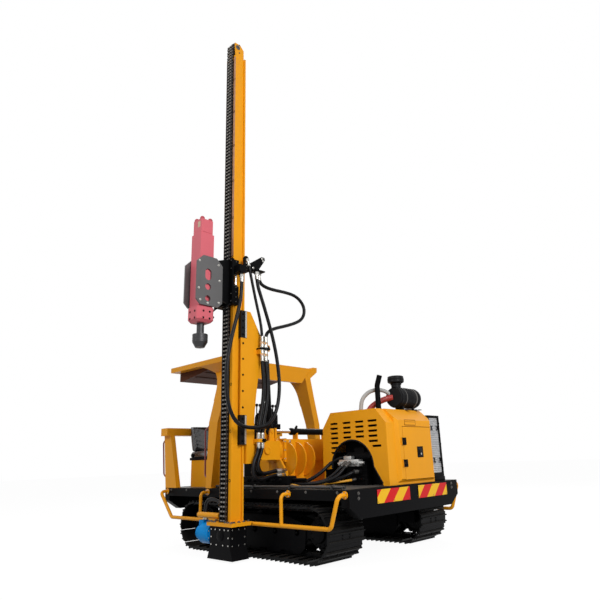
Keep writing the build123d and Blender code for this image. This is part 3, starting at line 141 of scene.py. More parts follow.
world = bpy.data.worlds.new("surround")
bpy.context.scene.world = world
world.use_nodes = True
tree = world.node_tree
tree.nodes.clear()
lit = node(tree, "Background", {"Color": WHITE, "Strength": SURROUND})
seen = node(tree, "Background", {"Color": WHITE})
mixed = node(tree, "MixShader", {0: seen_straight(tree), 1: lit[0], 2: seen[0]})
node(tree, "OutputWorld", {0: mixed[0]})


def lamp(name, place, target, size, watts):
    """A square soft lamp that faces target."""
    data = bpy.data.lights.new(name, "AREA")
    data.size = size
    data.energy = watts
    made = bpy.data.objects.new(name, data)
    made.location = place
    made.rotation_euler = (Vector(target) - Vector(place)).to_track_quat("-Z", "Y").to_euler()
    bpy.context.collection.objects.link(made)


lamp("key_lamp", (2.0, 10.0, 9.0), (0, 0, 2.0), 5.0, 440)
lamp("hood_lamp", (-10.0, 3.0, 6.0), (0, 0, 1.5), 5.0, 820)
lamp("back_lamp", (5.0, -9.0, 8.0), (0, 0, 2.0), 5.0, 400)

floor_mesh = bpy.data.meshes.new("floor")
corners = [(FLOOR_HALF * x, FLOOR_HALF * y, 0) for x, y in ((-1, -1), (1, -1), (1, 1), (-1, 1))]
floor_mesh.from_pydata(corners, [], [(0, 1, 2, 3)])
floor = bpy.data.objects.new("floor", floor_mesh)
floor.location.z = -0.001
bpy.context.collection.objects.link(floor)


def material(name):
    """A new material, its node tree and its surface node."""
    made = bpy.data.materials.new(name)
    made.use_nodes = True
    return made, made.node_tree, made.node_tree.nodes["Principled BSDF"]


pale, tree, skin = material("pale_floor")
fill(tree, skin, {"Base Color": (0.42, 0.42, 0.42, 1), "Roughness": 0.9, "Specular IOR Level": 0.1})
glow = node(tree, "Emission", {"Color": WHITE, "Strength": FLOOR_GLOW})
share = reckon(tree, "MULTIPLY", seen_straight(tree), FLOOR_WHITE)
mixed = node(tree, "MixShader", {0: share, 1: skin.outputs[0], 2: glow[0]})
fill(tree, tree.nodes["Material Output"], {"Surface": mixed[0]})
floor_mesh.materials.append(pale)

# The hydraulic hoses: black rubber over steel wire, 46 or 38 mm across, each crimped at both ends
# into a steel fitting. Places are from the ground under the middle of the tracks, in metres,
# and MIDDLE moves them to the frame's origin.
MIDDLE = Vector((-0.240, -0.410, 0))
LOOP_X, DROP_X = -0.274, -0.205
DUST = (0.30, 0.27, 0.23, 1)


def two_tones(tree, share, first, second):
    """The second colour over the first, by share."""
    return node(tree, "Mix", {"Factor": share, "A": first, "B": second}, data_type="RGBA")["Result"]


def finish(
    name, colour, rough, metal=0.0, mottle=0.12, mottle_size=3.0, peel=0.05, peel_size=220.0, coat=0.0, dust=0.0,
    shine=0.5,
):
    """A painted, moulded or bare surface whose tone, gloss and relief vary a little over it."""
    made, tree, skin = material(name)
    place = node(tree, "TexCoord")["Object"]
    clouds = node(tree, "TexNoise", {"Scale": mottle_size, "Detail": 6, "Vector": place})["Fac"]
    darker = (*[c * (1 - mottle) for c in colour], 1)
    paler = (*[min(1, c * (1 + mottle)) for c in colour], 1)
    tone = two_tones(tree, clouds, darker, paler)
    if dust:
        level = node(tree, "SeparateXYZ", {0: node(tree, "NewGeometry")["Normal"]})["Z"]
        upward = node(tree, "MapRange", {"From Min": 0.3, "To Max": dust, "Value": level})["Result"]
        tone = two_tones(tree, reckon(tree, "MULTIPLY", upward, clouds), tone, DUST)
    gloss = {"To Min": max(0.02, rough - 0.08), "To Max": min(1, rough + 0.12), "Value": clouds}
    grain = node(tree, "TexNoise", {"Scale": peel_size, "Detail": 3, "Vector": place})["Fac"]
    relief = node(tree, "Bump", {"Strength": peel, "Distance": 0.002, "Height": grain})["Normal"]
    fill(tree, skin, {
        "Metallic": metal, "Coat Weight": coat, "Specular IOR Level": shine, "IOR": min(1.5, 1.16 + 0.68 * shine),
        "Base Color": tone, "Roughness": node(tree, "MapRange", gloss)["Result"], "Normal": relief,
    })
    return made


def settle(name, made, surface, body="chassis", smooth=32):
    """The finished piece of this mesh, moved to the frame, with its surface and riding on its body."""
    bmesh.ops.recalc_face_normals(made, faces=made.faces)
    bmesh.ops.translate(made, vec=MIDDLE, verts=made.verts)
    mesh = bpy.data.meshes.new(name)
    made.to_mesh(mesh)
    made.free()
    mesh.materials.append(surface)
    mesh.shade_smooth()
    mesh.set_sharp_from_angle(angle=math.radians(smooth))
    thing = bpy.data.objects.new(name, mesh)
    bpy.context.collection.objects.link(thing)
    if body:
        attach(thing, body)
    return thing


def smooth_line(name, points, fineness=6):
    """The points of the smooth curve that these control points draw."""
    data = bpy.data.curves.new(name, "CURVE")
    data.dimensions = "3D"
    data.resolution_u = fineness
    spline = data.splines.new("NURBS")
    spline.points.add(len(points) - 1)
    for spot, point in zip(spline.points, points):
        spot.co = (*point, 1)
    spline.order_u = 3
    spline.use_endpoint_u = True
    helper = bpy.data.objects.new(name, data)
    mesh = bpy.data.meshes.new_from_object(helper)
    line = [v.co.copy() for v in mesh.vertices]
    bpy.data.objects.remove(helper)
    bpy.data.curves.remove(data)
    bpy.data.meshes.remove(mesh)
    return line


def circle(count, radius, first=0.0):
    """Places spaced evenly on a circle, as pairs of coordinates."""
    angles = [2 * math.pi * (n + first) / count for n in range(count)]
    return [(radius * math.cos(a), radius * math.sin(a)) for a in angles]


def skin_rings(made, rings):
    """Adds the faces between rings of the same number of points, and closes both ends."""
    count = len(rings[0])
    for low, high in zip(rings, rings[1:]):
        for n in range(count):
            after = (n + 1) % count
            made.faces.new((low[n], low[after], high[after], high[n]))
    made.faces.new(rings[0])
    made.faces.new(rings[-1])


def skin_over(made, line, radii, sides=18):
    """Adds a round skin along a line, closed at both ends. radii is one radius, or one for each point."""
    if not hasattr(radii, "__len__"):
        radii = [radii] * len(line)
    last = len(line) - 1
    along = (line[1] - line[0]).normalized()
    side = along.orthogonal().normalized()
    rings = []
    for k, point in enumerate(line):
        along = (line[min(k + 1, last)] - line[max(k - 1, 0)]).normalized()
        side = (side - along * side.dot(along)).normalized()
        other = along.cross(side)
        rings.append([made.verts.new(point + c * side + s * other) for c, s in circle(sides, radii[k])])
    skin_rings(made, rings)


def turned(made, start, axis, profile, sides=24):
    """Adds a solid turned about an axis from start, through (distance, radius) steps."""
    axis = Vector(axis).normalized()
    across = axis.orthogonal().normalized()
    other = axis.cross(across)
    rings = []
    for reach, radius in profile:
        centre = Vector(start) + axis * reach
        rings.append([made.verts.new(centre + c * across + s * other) for c, s in circle(sides, radius)])
    skin_rings(made, rings)


def crimp(made, place, axis, radius):
    """Adds a hose's crimped ferrule, which ends on its fitting's hexagon at place."""
    steps = [(0.006, radius * 0.9), (0.008, radius * 1.16)]
    for k in range(4):
        at = 0.016 + 0.013 * k
        steps += [
            (at, radius * 1.18), (at + 0.002, radius * 1.08), (at + 0.005, radius * 1.08), (at + 0.007, radius * 1.18),
        ]
    steps += [(0.070, radius * 1.14), (0.073, radius * 1.02)]
    turned(made, place, axis, steps)
    turned(
        made, place, axis,
        ((-0.030, radius * 1.15), (-0.027, radius * 1.32), (0.003, radius * 1.32), (0.007, radius * 1.12)), 6,
    )


rubber = finish(
    "hose_rubber", (0.004, 0.004, 0.005), 0.34, mottle=0.25, mottle_size=14, peel=0.10, peel_size=520, shine=0.28,
)
zinc = finish("zinc_plate", (0.50, 0.49, 0.46), 0.28, metal=1.0, mottle=0.10, mottle_size=30, peel=0.02)
# Each hose: its solid, plane, width, real length, route of (Y, Z) points, and the bodies at its ends
HOSES = (
    ("hose_loop_out", LOOP_X, 0.046, 2.294, (
        (1.180, 3.420), (1.180, 3.290), (1.105, 3.115), (1.000, 2.850), (0.898, 2.565), (0.828, 2.270),
        (0.797, 1.965), (0.842, 1.700), (0.943, 1.534), (1.086, 1.452), (1.246, 1.452),
    ), "mast", "mast", ()),
    ("hose_loop_back", LOOP_X, 0.046, 2.144, (
        (1.246, 1.452), (1.400, 1.452), (1.534, 1.539), (1.623, 1.707), (1.655, 1.974), (1.638, 2.280),
        (1.570, 2.570), (1.487, 2.850), (1.432, 3.110), (1.432, 3.330),
    ), "mast", "carriage", (1.50, 3.10)),
    ("hose_arched", DROP_X, 0.038, 1.097, (
        (1.283, 3.605), (1.245, 3.490), (1.195, 3.290), (1.135, 3.060), (1.070, 2.840), (1.036, 2.665), (1.036, 2.540),
    ), "holder", "mast", (2.54, 3.40)),
    ("hose_bow", DROP_X, 0.046, 2.043, (
        (1.085, 3.440), (1.085, 3.350), (0.985, 3.300), (0.830, 3.291), (0.600, 3.302), (0.400, 3.290), (0.262, 3.200),
        (0.228, 3.080), (0.290, 2.960), (0.440, 2.880), (0.640, 2.808), (0.810, 2.755), (0.925, 2.700),
        (0.975, 2.625), (0.975, 2.540),
    ), "holder", "mast", (2.54, 3.40)),
    ("hose_holder_drop", DROP_X, 0.046, 1.045, (
        (1.036, 2.360), (1.036, 2.240), (1.010, 2.060), (1.016, 1.860), (1.048, 1.660), (1.100, 1.475), (1.100, 1.325),
    ), "yoke", "holder", (1.33, 2.36)),
    ("hose_boom_drop", DROP_X, 0.046, 0.857, (
        (1.100, 1.285), (1.100, 1.185), (1.172, 1.060), (1.195, 0.950), (1.150, 0.868), (1.050, 0.848),
        (0.892, 0.888), (0.736, 0.888),
    ), "boom", "yoke", (0.90, 1.285)),
    ("hose_holder_twin", DROP_X, 0.046, 1.045, (
        (0.975, 2.360), (0.975, 2.240), (0.945, 2.060), (0.951, 1.860), (0.983, 1.660), (1.040, 1.475), (1.040, 1.325),
    ), "yoke", "holder", (1.33, 2.36)),
    ("hose_boom_twin", DROP_X, 0.046, 0.715, (
        (1.040, 1.285), (1.040, 1.195), (1.106, 1.075), (1.118, 0.985), (1.060, 0.920), (0.950, 0.920),
        (0.850, 0.943), (0.736, 0.943),
    ), "boom", "yoke", (0.90, 1.285)),
)
for name, x, width, length, route, low_body, high_body, share in HOSES:
    line = smooth_line(name, [(x, y, z) for y, z in route])
    made = bmesh.new()
    skin_over(made, line, width / 2)
    hose = settle(name + "_rubber", made, rubber, "" if share else low_body)
    if name in nodes:
        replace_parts(hose, name)
    if share:
        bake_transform(hose)

HOSE_R, THIN_HOSE_R = 0.023, 0.019
SLEEVE = ((-0.080, 0.0278), (-0.030, 0.0278))
# Ends: place, direction into the hose, the hose's radius and the body that holds the fitting
FITTINGS = {
    "arm_fittings": ("mast", (
        ((LOOP_X, 1.180, 3.420), DOWN, HOSE_R), ((DROP_X, 1.085, 3.440), DOWN, HOSE_R),
        ((DROP_X, 1.283, 3.605), (0, -0.31, -0.95), THIN_HOSE_R),
    )),
    "block_fitting": ("carriage", (((LOOP_X, 1.432, 3.330), DOWN, HOSE_R),)),
    "bulkhead_fittings": ("holder", (
        ((DROP_X, 1.036, 2.540), UP, HOSE_R), ((DROP_X, 0.975, 2.540), UP, HOSE_R),
        ((DROP_X, 1.036, 2.360), DOWN, HOSE_R), ((DROP_X, 0.975, 2.360), DOWN, HOSE_R),
    )),
    "yoke_fittings": ("yoke", (
        ((DROP_X, 1.100, 1.325), UP, HOSE_R), ((DROP_X, 1.040, 1.325), UP, HOSE_R),
        ((DROP_X, 1.100, 1.285), DOWN, HOSE_R), ((DROP_X, 1.040, 1.285), DOWN, HOSE_R),
    )),
    "boom_fittings": ("boom", (
        ((DROP_X, 0.736, 0.888), LEFT, HOSE_R), ((DROP_X, 0.736, 0.943), LEFT, HOSE_R),
    )),
}
for name, (body, ends) in FITTINGS.items():
    made = bmesh.new()
    for place, axis, radius in ends:
        crimp(made, place, axis, radius)
        if body in ("holder", "boom"):
            turned(made, place, axis, SLEEVE)
    settle(name, made, zinc, body)

# The two tracks: steel shoes with two low grousers and a lip over the next shoe, each bolted to a
# pair of forged links by four bolts, and joined by pins into a loop round the sprocket and idler.
WHEEL_X, TRACK_R, TRACK_Y = 1.070, 0.300, 0.860
SHOE_COUNT, SHOE_HALF, SHOE_T = 38, 0.290, 0.018
SHOE_R = TRACK_R - 0.025
RUN = 2 * WHEEL_X
TURN = math.pi * (SHOE_R - SHOE_T - 0.031)
SHOE_PITCH = 2 * (RUN + TURN) / SHOE_COUNT


def on_track(reach):
    """Place and outward direction on the line between a track's wheels, at a distance around it."""
    reach %= 2 * (RUN + TURN)
    if reach < RUN:
        return Vector((reach - WHEEL_X, 0, TRACK_R)), 0.0
    reach -= RUN
    if reach < TURN:
        return Vector((WHEEL_X, 0, TRACK_R)), math.pi * reach / TURN
    reach -= TURN
    if reach < RUN:
        return Vector((WHEEL_X - reach, 0, TRACK_R)), math.pi
    return Vector((-WHEEL_X, 0, TRACK_R)), math.pi + math.pi * (reach - RUN) / TURN


def span(middle, half):
    """The two ends of a length with this middle."""
    return middle - half, middle + half


def block(made, x, y, z, edge=0.0, steps=2):
    """Adds a block between the two ends given on each axis, its edges broken."""
    new = bmesh.ops.create_cube(made, size=1)["verts"]
    for v in new:
        v.co = [sum(pair) / 2 + c * (max(pair) - min(pair)) for pair, c in zip((x, y, z), v.co)]
    if edge:
        edges = list({e for v in new for e in v.link_edges})
        new = bmesh.ops.bevel(made, geom=edges, offset=edge, segments=steps, affect="EDGES", profile=0.6)["verts"]
    return new


def whole(made, first):
    """The points added since first were counted, for moving one piece of a mesh."""
    made.verts.ensure_lookup_table()
    return made.verts[first:]


track_steel = finish(
    "track_steel", (0.0045, 0.0045, 0.005), 0.45, metal=0.0, shine=0.2, mottle=0.35, mottle_size=9, peel=0.35,
    peel_size=90, dust=0.12,
)
# Each point of a shoe: share of the pitch along the track, height over its inner face
SHOE_OUTLINE = (
    (-0.5, 0.010), (-0.49, SHOE_T), (-0.33, SHOE_T), (-0.31, 0.039), (-0.23, 0.039), (-0.20, SHOE_T),
    (0.16, SHOE_T), (0.19, 0.039), (0.27, 0.039), (0.29, SHOE_T), (0.46, SHOE_T), (0.52, 0.004), (0.66, -0.012),
    (0.64, -0.020), (0.47, -0.004), (-0.46, 0.0),
)
for name, side in (("track_left", 1), ("track_right", -1)):
    made = bmesh.new()
    for k in range(SHOE_COUNT):
        first = len(made.verts)
        rows = []
        for y in (-SHOE_HALF, SHOE_HALF):
            rows.append([made.verts.new((u * SHOE_PITCH, y, h)) for u, h in SHOE_OUTLINE])
        skin_rings(made, rows)
        for y in (-0.058, 0.058):
            for u in (-0.10, 0.10):
                turned(made, (u * SHOE_PITCH, y, SHOE_T), UP, ((0, 0.011), (0.007, 0.011), (0.009, 0.009)), 6)
            block(made, (-0.46 * SHOE_PITCH, 0.42 * SHOE_PITCH), span(y, 0.016), (-0.052, 0.001), 0.006, 1)
        turned(made, (-0.5 * SHOE_PITCH, -0.080, -0.031), LEFT, ((0, 0.019), (0.160, 0.019)), 12)
        place, angle = on_track((k + 0.5) * SHOE_PITCH)
        spin = Matrix.Rotation(angle, 4, "Y")
        out = spin @ Vector((0, 0, SHOE_R - SHOE_T))
        for v in whole(made, first):
            v.co = spin @ v.co + place + out + Vector((0, side * TRACK_Y, 0))
    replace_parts(settle(name + "_shoes", made, track_steel), name)

# The running gear inside each track: frames, rollers, idler and sprocket, painted black, with the
# travel motor's cover, collar bolts, and rock guards of bent plate along the rollers.


def dress(surface, *names, edge=0.0, slope=32):
    """Gives CAD nodes a finish, and breaks their edges where they have a plate's or casting's edge."""
    for name in names:
        made = nodes[name]
        made.data.materials.clear()
        made.data.materials.append(surface)
        if edge:
            broken = made.modifiers.new("broken_edges", "BEVEL")
            broken.width = edge
            broken.segments = 2
            broken.limit_method = "ANGLE"
            broken.angle_limit = math.radians(slope)
            broken.harden_normals = False


def bolt(made, place, axis, across=0.022, washer=True):
    """Adds a hexagon bolt's head on its washer, standing out along axis."""
    half = across / 2
    if washer:
        turned(made, place, axis, ((-0.001, half * 1.75), (0.0022, half * 1.75), (0.003, half * 1.6)), 16)
    turned(made, place, axis, ((0.002, half * 1.15), (across * 0.55, half * 1.15), (across * 0.64, half * 0.95)), 6)


black_paint = finish("black_paint", (0.0035, 0.0035, 0.004), 0.42, mottle=0.3, dust=0.05, shine=0.12)
dress(black_paint, "track_frame_left", "track_frame_right", "cross_frame", edge=0.003)
dress(track_steel, "idlers", "track_rollers", "drive_sprockets", edge=0.002)
worn_steel = finish(
    "worn_steel", (0.10, 0.095, 0.09), 0.42, metal=0.8, mottle=0.3, mottle_size=18, peel=0.12, peel_size=150,
)
made = bmesh.new()
for side in SIDES:
    face = side * (TRACK_Y + 0.111)
    out = (0, side, 0)
    turned(
        made, (-WHEEL_X, face - side * 0.02, TRACK_R), out,
        ((0, 0.150), (0.030, 0.150), (0.036, 0.144), (0.040, 0.100), (0.062, 0.092), (0.066, 0.084)), 40,
    )
    turned(made, (WHEEL_X, face, TRACK_R), out, ((0, 0.060), (0.014, 0.060), (0.018, 0.054)), 32)
    for x, z in circle(12, 0.125):
        bolt(made, (x - WHEEL_X, face + side * 0.013, z + TRACK_R), out, 0.018, False)
    for x in (-0.72, -0.36, 0, 0.36, 0.72):
        turned(made, (x, face, 0.289), out, ((0, 0.040), (0.010, 0.040), (0.013, 0.036)), 24)
        bolt(made, (x, face + side * 0.012, 0.289), out, 0.024, False)
    for x in (-0.60, -0.30, 0.30, 0.60):
        bolt(made, (x, face, 0.345), out, 0.020)
settle("running_gear_caps", made, black_paint)
made = bmesh.new()
for side, y in product(SIDES, span(TRACK_Y, 0.120)):
    outline = [(-0.86, 0.300), (-0.84, 0.130), (-0.76, 0.072)]
    for x in (-0.54, -0.18, 0.18, 0.54):
        outline += [(x - 0.110, 0.072), (x - 0.075, 0.098), (x + 0.075, 0.098), (x + 0.110, 0.072)]
    outline += [
        (0.76, 0.072), (0.84, 0.130), (0.86, 0.300), (0.80, 0.392), (0.55, 0.455), (-0.55, 0.455), (-0.80, 0.392),
    ]
    rows = [[made.verts.new((x, side * y + shift, z)) for x, z in outline] for shift in (-0.004, 0.004)]
    skin_rings(made, rows)
# Two black cross plates between the track frames under the deck: painted shade, dark sheets that fill the view under
# the machine
block(made, (-0.010, 0.010), (-0.735, 0.735), (0.300, 0.520), 0.003, 1)
block(made, (0.700, 0.720), (-0.735, 0.735), (0.380, 0.520), 0.003, 1)
settle("rock_guards_and_shade_plates", made, black_paint)

# The deck: a box frame of folded plate in black, a tread plate floor, and two warning panels with
# slanted red and yellow stripes on the rear bumper. Steel pipes run along its left edge in clips.
DECK_TOP, DECK_REAR, DECK_Y = 0.747, -1.600, 1.090
dress(black_paint, "deck_frame", "front_apron", edge=0.004)


def tread_plate(name):
    """Black rolled floor plate with raised crossed bars."""
    made = finish(name, (0.014, 0.014, 0.015), 0.45, mottle=0.3, dust=0.45)
    tree = made.node_tree
    skin = tree.nodes["Principled BSDF"]
    place = node(tree, "TexCoord")["Object"]
    bars = []
    for angle in (45, -45):
        way = {"Rotation": (0, 0, math.radians(angle)), "Scale": (30, 12, 1), "Vector": place}
        cells = {"Scale": 1, "Randomness": 0, "Vector": node(tree, "Mapping", way)[0]}
        reach = node(tree, "TexVoronoi", cells, feature="F1")["Distance"]
        bars.append(node(tree, "MapRange", {"From Min": 0.30, "From Max": 0.22, "Value": reach})["Result"])
    grain = skin.inputs["Normal"].links[0].from_socket
    raised = {"Strength": 0.6, "Distance": 0.004, "Height": reckon(tree, "MAXIMUM", *bars), "Normal": grain}
    fill(tree, skin, {"Normal": node(tree, "Bump", raised)["Normal"]})
    return made


dress(tread_plate("tread_plate"), "deck_floor")


def stripes(name, first, second, pitch, slant):
    """Reflective sheeting in two colours, in slanted stripes of one width along Y."""
    made, tree, skin = material(name)
    place = node(tree, "TexCoord")["Object"]
    spot = node(tree, "SeparateXYZ", {0: place})
    turns = reckon(tree, "DIVIDE", reckon(tree, "MULTIPLY_ADD", spot["Z"], slant, spot["Y"]), pitch)
    which = reckon(tree, "GREATER_THAN", reckon(tree, "FRACT", turns), 0.5)
    honeycomb = node(tree, "TexVoronoi", {"Scale": 260, "Vector": place})["Distance"]
    relief = node(tree, "Bump", {"Strength": 0.12, "Distance": 0.0006, "Height": honeycomb})["Normal"]
    fill(tree, skin, {
        "Base Color": two_tones(tree, which, (*first, 1), (*second, 1)), "Roughness": 0.32,
        "Specular IOR Level": 0.2, "Normal": relief,
    })
    return made


WARNING_Y = ((0.0, 0.63), (-0.82, -0.17))
warning = stripes("warning_stripes", (0.84, 0.47, 0.01), (0.62, 0.003, 0.005), 0.345, 1.0)
made = bmesh.new()
for low, high in WARNING_Y:
    block(made, (DECK_REAR - 0.0055, DECK_REAR - 0.0035), (low + 0.004, high - 0.004), (0.584, 0.726), 0.0008, 1)
settle("warning_panels", made, warning)
made = bmesh.new()
for low, high in WARNING_Y:
    for y, z in product((low + 0.020, (low + high) / 2, high - 0.020), (0.598, 0.712)):
        turned(made, (DECK_REAR - 0.004, y, z), REAR, ((0, 0.006), (0.003, 0.006), (0.0042, 0.004)), 16)
for y, z in product((-0.94, 0.94), (0.66, 0.71)):
    bolt(made, (DECK_REAR, y, z), REAR, 0.020)
for x, side in product((-1.44, -0.98, -0.52, -0.06, 0.40, 0.86, 1.32, 1.70), SIDES):
    bolt(made, (x, side * DECK_Y, 0.722), (0, side, 0), 0.018)
# Clips of the pipes along the left edge
for x in (-1.30, -0.65, 0.0, 0.65):
    for y in ((0.938, 1.004), (0.982, 1.048)):
        block(made, span(x, 0.014), y, (DECK_TOP + 0.033, DECK_TOP + 0.040), 0.0015, 1)
    bolt(made, (x, 0.982, DECK_TOP + 0.040), UP, 0.016)
settle("deck_fasteners", made, worn_steel)

# The guard tubes along the tracks: bent steel tube in the machine's yellow, with two posts each
# that end in flanges bolted under the deck's edge.
enamel = finish("yellow_enamel", (0.80, 0.33, 0.008), 0.34, mottle=0.07, dust=0.08, shine=0.28)
dress(enamel, "side_guard_left", "side_guard_right")
made = bmesh.new()
studs = bmesh.new()
for side, x in product(SIDES, (-1.545, -0.700, 0.825, 1.800)):
    turned(made, (x, side * (DECK_Y - 0.001), 0.700), (0, side, 0), ((0, 0.040), (0.009, 0.040), (0.011, 0.037)), 28)
    for aside, above in circle(4, 0.031, 0.5):
        bolt(studs, (x + aside, side * (DECK_Y + 0.009), 0.700 + above), (0, side, 0), 0.012, False)
settle("guard_flanges", made, enamel)
settle("guard_studs", studs, zinc)

# The hood: pressed steel panels in yellow enamel, with turned-in louvres, a rubber strip at the
# arch's edge, and a flush engine door on two black hinges with a paddle latch.
HOOD_LEFT, HOOD_RIGHT, HOOD_TOP, DOOR_X = 0.310, -0.642, 1.622, -1.590
dress(enamel, "hood_left", "hood_right", "hood_cover", "rear_door", edge=0.0025)
black_plastic = finish(
    "black_plastic", (0.005, 0.005, 0.006), 0.40, mottle=0.15, peel=0.2, peel_size=700, dust=0.06, shine=0.25,
)
dress(black_plastic, "door_latch", edge=0.0015)
# Each column of louvres: front end, length, rows and the step back of the rows under the fourth
LOUVRE_TOP, LOUVRE_PITCH, LOUVRE_LEAN = 1.482, 0.0585, math.radians(52)
LOUVRES = ((-0.676, 0.128, 7, 0), (-0.884, 0.130, 4, 0), (-1.082, 0.136, 4, 0), (-1.280, 0.138, 6, 0.048))
made = bmesh.new()
dark = bmesh.new()
for face, out in ((HOOD_LEFT, 1), (HOOD_RIGHT, -1)):
    for front, length, rows, step in LOUVRES:
        for row in range(rows):
            x1 = front - (step if row > 4 else 0)
            z = LOUVRE_TOP - row * LOUVRE_PITCH
            # a blade that leans in from the slot's top edge, in flat black: painted shade in the slot
            first = len(made.verts)
            block(made, (x1 - length - 0.004, x1 + 0.004), (-0.0015, 0.0015), (-0.016, 0.016), 0.0010, 1)
            lean = Matrix.Rotation(out * LOUVRE_LEAN, 4, "X")
            for v in whole(made, first):
                v.co = lean @ v.co + Vector((0, face - out * 0.0335, z + 0.0065))
    # A dark sheet behind each column of slots: painted shade inside the hood
    block(dark, (-1.440, -0.665), (face - out * 0.052, face - out * 0.049), (1.275, 1.510), 0.001, 1)
    block(dark, (-1.440, -1.342), (face - out * 0.052, face - out * 0.049), (1.110, 1.275), 0.001, 1)
# Flat black: the engine's cast iron, the rail screws and nose plugs, and painted shade in the louvre slots, inside the
# hood and in the chain's channel
black_and_painted_shade = finish("black_and_painted_shade", (0.004, 0.004, 0.0045), 0.7, mottle=0.3, shine=0.15)
settle("louvre_blades", made, black_and_painted_shade)
# Dark sheets inside the hood, behind its front panel and its right side: more painted shade
block(dark, (-0.5615, -0.5585), (-0.610, 0.289), (0.750, 1.385), 0.001, 1)
block(dark, (-1.520, -0.560), (-0.615, -0.610), (0.750, 1.500), 0.001, 1)
settle("hood_painted_shade", dark, black_and_painted_shade)
# The arch's edging, a rubber strip pressed over the panel's edge
ARCH_FRONT, ARCH_REAR, ARCH_SPRING, ARCH_TOP, EDGING_Y = -0.684, -1.335, 0.960, 1.272, HOOD_LEFT - 0.010
middle, half = (ARCH_REAR + ARCH_FRONT) / 2, (ARCH_FRONT - ARCH_REAR) / 2
edge_line = [(ARCH_FRONT, z) for z in (0.945, 0.952)]
for n in range(33):
    a = math.pi * n / 32
    edge_line.append((middle + half * math.cos(a), ARCH_SPRING + (ARCH_TOP - ARCH_SPRING) * math.sin(a)))
edge_line += [(ARCH_REAR - 0.133 * n / 12, ARCH_SPRING - (ARCH_SPRING - 0.755) * n / 12) for n in range(1, 12)]
made = bmesh.new()
skin_over(made, [Vector((x, EDGING_Y, z)) for x, z in edge_line], 0.0135, 10)
settle("arch_edging", made, black_plastic)
made = bmesh.new()
screws = bmesh.new()
# The blank plate over the door, and its frame
block(made, (DOOR_X - 0.0035, DOOR_X - 0.0005), (-0.245, -0.020), (1.424, 1.478), 0.001, 1)
settle("blank_plate", made, enamel)
frame = bmesh.new()
for y in ((-0.252, -0.243), (-0.022, -0.013)):
    block(frame, (DOOR_X - 0.0030, DOOR_X - 0.0005), y, (1.417, 1.485), 0.0005, 1)
for z in ((1.417, 1.425), (1.457, 1.462), (1.477, 1.485)):
    block(frame, (DOOR_X - 0.0042, DOOR_X - 0.0005), (-0.243, -0.022), z, 0.0005, 1)
for y, z in ((-0.236, 1.433), (-0.029, 1.433), (-0.236, 1.469), (-0.029, 1.469)):
    turned(screws, (DOOR_X, y, z), REAR, ((0, 0.005), (0.002, 0.005), (0.003, 0.0035)), 14)
for side, face in ((1, HOOD_LEFT), (-1, HOOD_RIGHT)):
    for x, z in (
        (-1.520, 0.80), (-1.520, 1.10), (-1.520, 1.40), (-0.560, 0.98), (-0.560, 1.20), (-0.565, 1.40),
        (-1.36, 1.596), (-1.05, 1.600), (-0.74, 1.600),
    ):
        bolt(screws, (x, face, z), (0, side, 0), 0.010, False)
settle("hood_fasteners", screws, enamel)
settle("plate_frame", frame, finish("frame_brown", (0.26, 0.085, 0.004), 0.4, shine=0.2))
hinge_black = finish("hinge_black", (0.003, 0.003, 0.003), 0.36, mottle=0.2, peel=0.1, shine=0.12)
fixed = bmesh.new()
swing = bmesh.new()
for z in (0.983, 1.231):
    turned(fixed, (-1.600, 0.044, z - 0.041), UP, ((0, 0.0105), (0.040, 0.0105)), 20)
    turned(swing, (-1.600, 0.044, z + 0.0005), UP, ((0, 0.0105), (0.040, 0.0105)), 20)
    block(fixed, (-1.6062, -1.589), (0.052, 0.0780), span(z, 0.0415), 0.002, 1)
    block(swing, (-1.6062, -1.589), (-0.0080, 0.036), (z + 0.001, z + 0.0415), 0.002, 1)
    block(swing, (-1.6062, -1.589), (-0.0080, 0.0325), (z - 0.0415, z + 0.002), 0.002, 1)
    for y, target in ((0.066, fixed), (0.010, swing)):
        turned(target, (-1.606, y, z + 0.024), REAR, ((0, 0.006), (0.002, 0.006), (0.003, 0.004)), 12)
settle("hinge_frames", fixed, hinge_black)
settle("hinge_leaves", swing, hinge_black, "rear_door")
made = bmesh.new()
turned(made, (DOOR_X - 0.0135, -0.305, 1.083), REAR, ((0, 0.012), (0.0040, 0.012), (0.0052, 0.010)), 24)
settle("latch_button", made, zinc, "rear_door")
made = bmesh.new()
block(made, (DOOR_X - 0.0050, DOOR_X - 0.0005), (-0.368, -0.242), (1.042, 1.170), 0.002, 1)
settle("latch_frame", made, hinge_black, "rear_door")

# The engine block and the pump behind the arch, of black cast iron with ribs and ports: the pump
# has an aluminium valve block, and short hoses run from it to a manifold bolted on the deck.
dress(black_and_painted_shade, "engine_block", edge=0.004)


def fixed_hose(name, route, radius, surface, body):
    """The smooth line of a hose along route, which rides on one body."""
    line = smooth_line(name, route)
    made = bmesh.new()
    skin_over(made, line, radius)
    settle(name, made, surface, body)
    return line


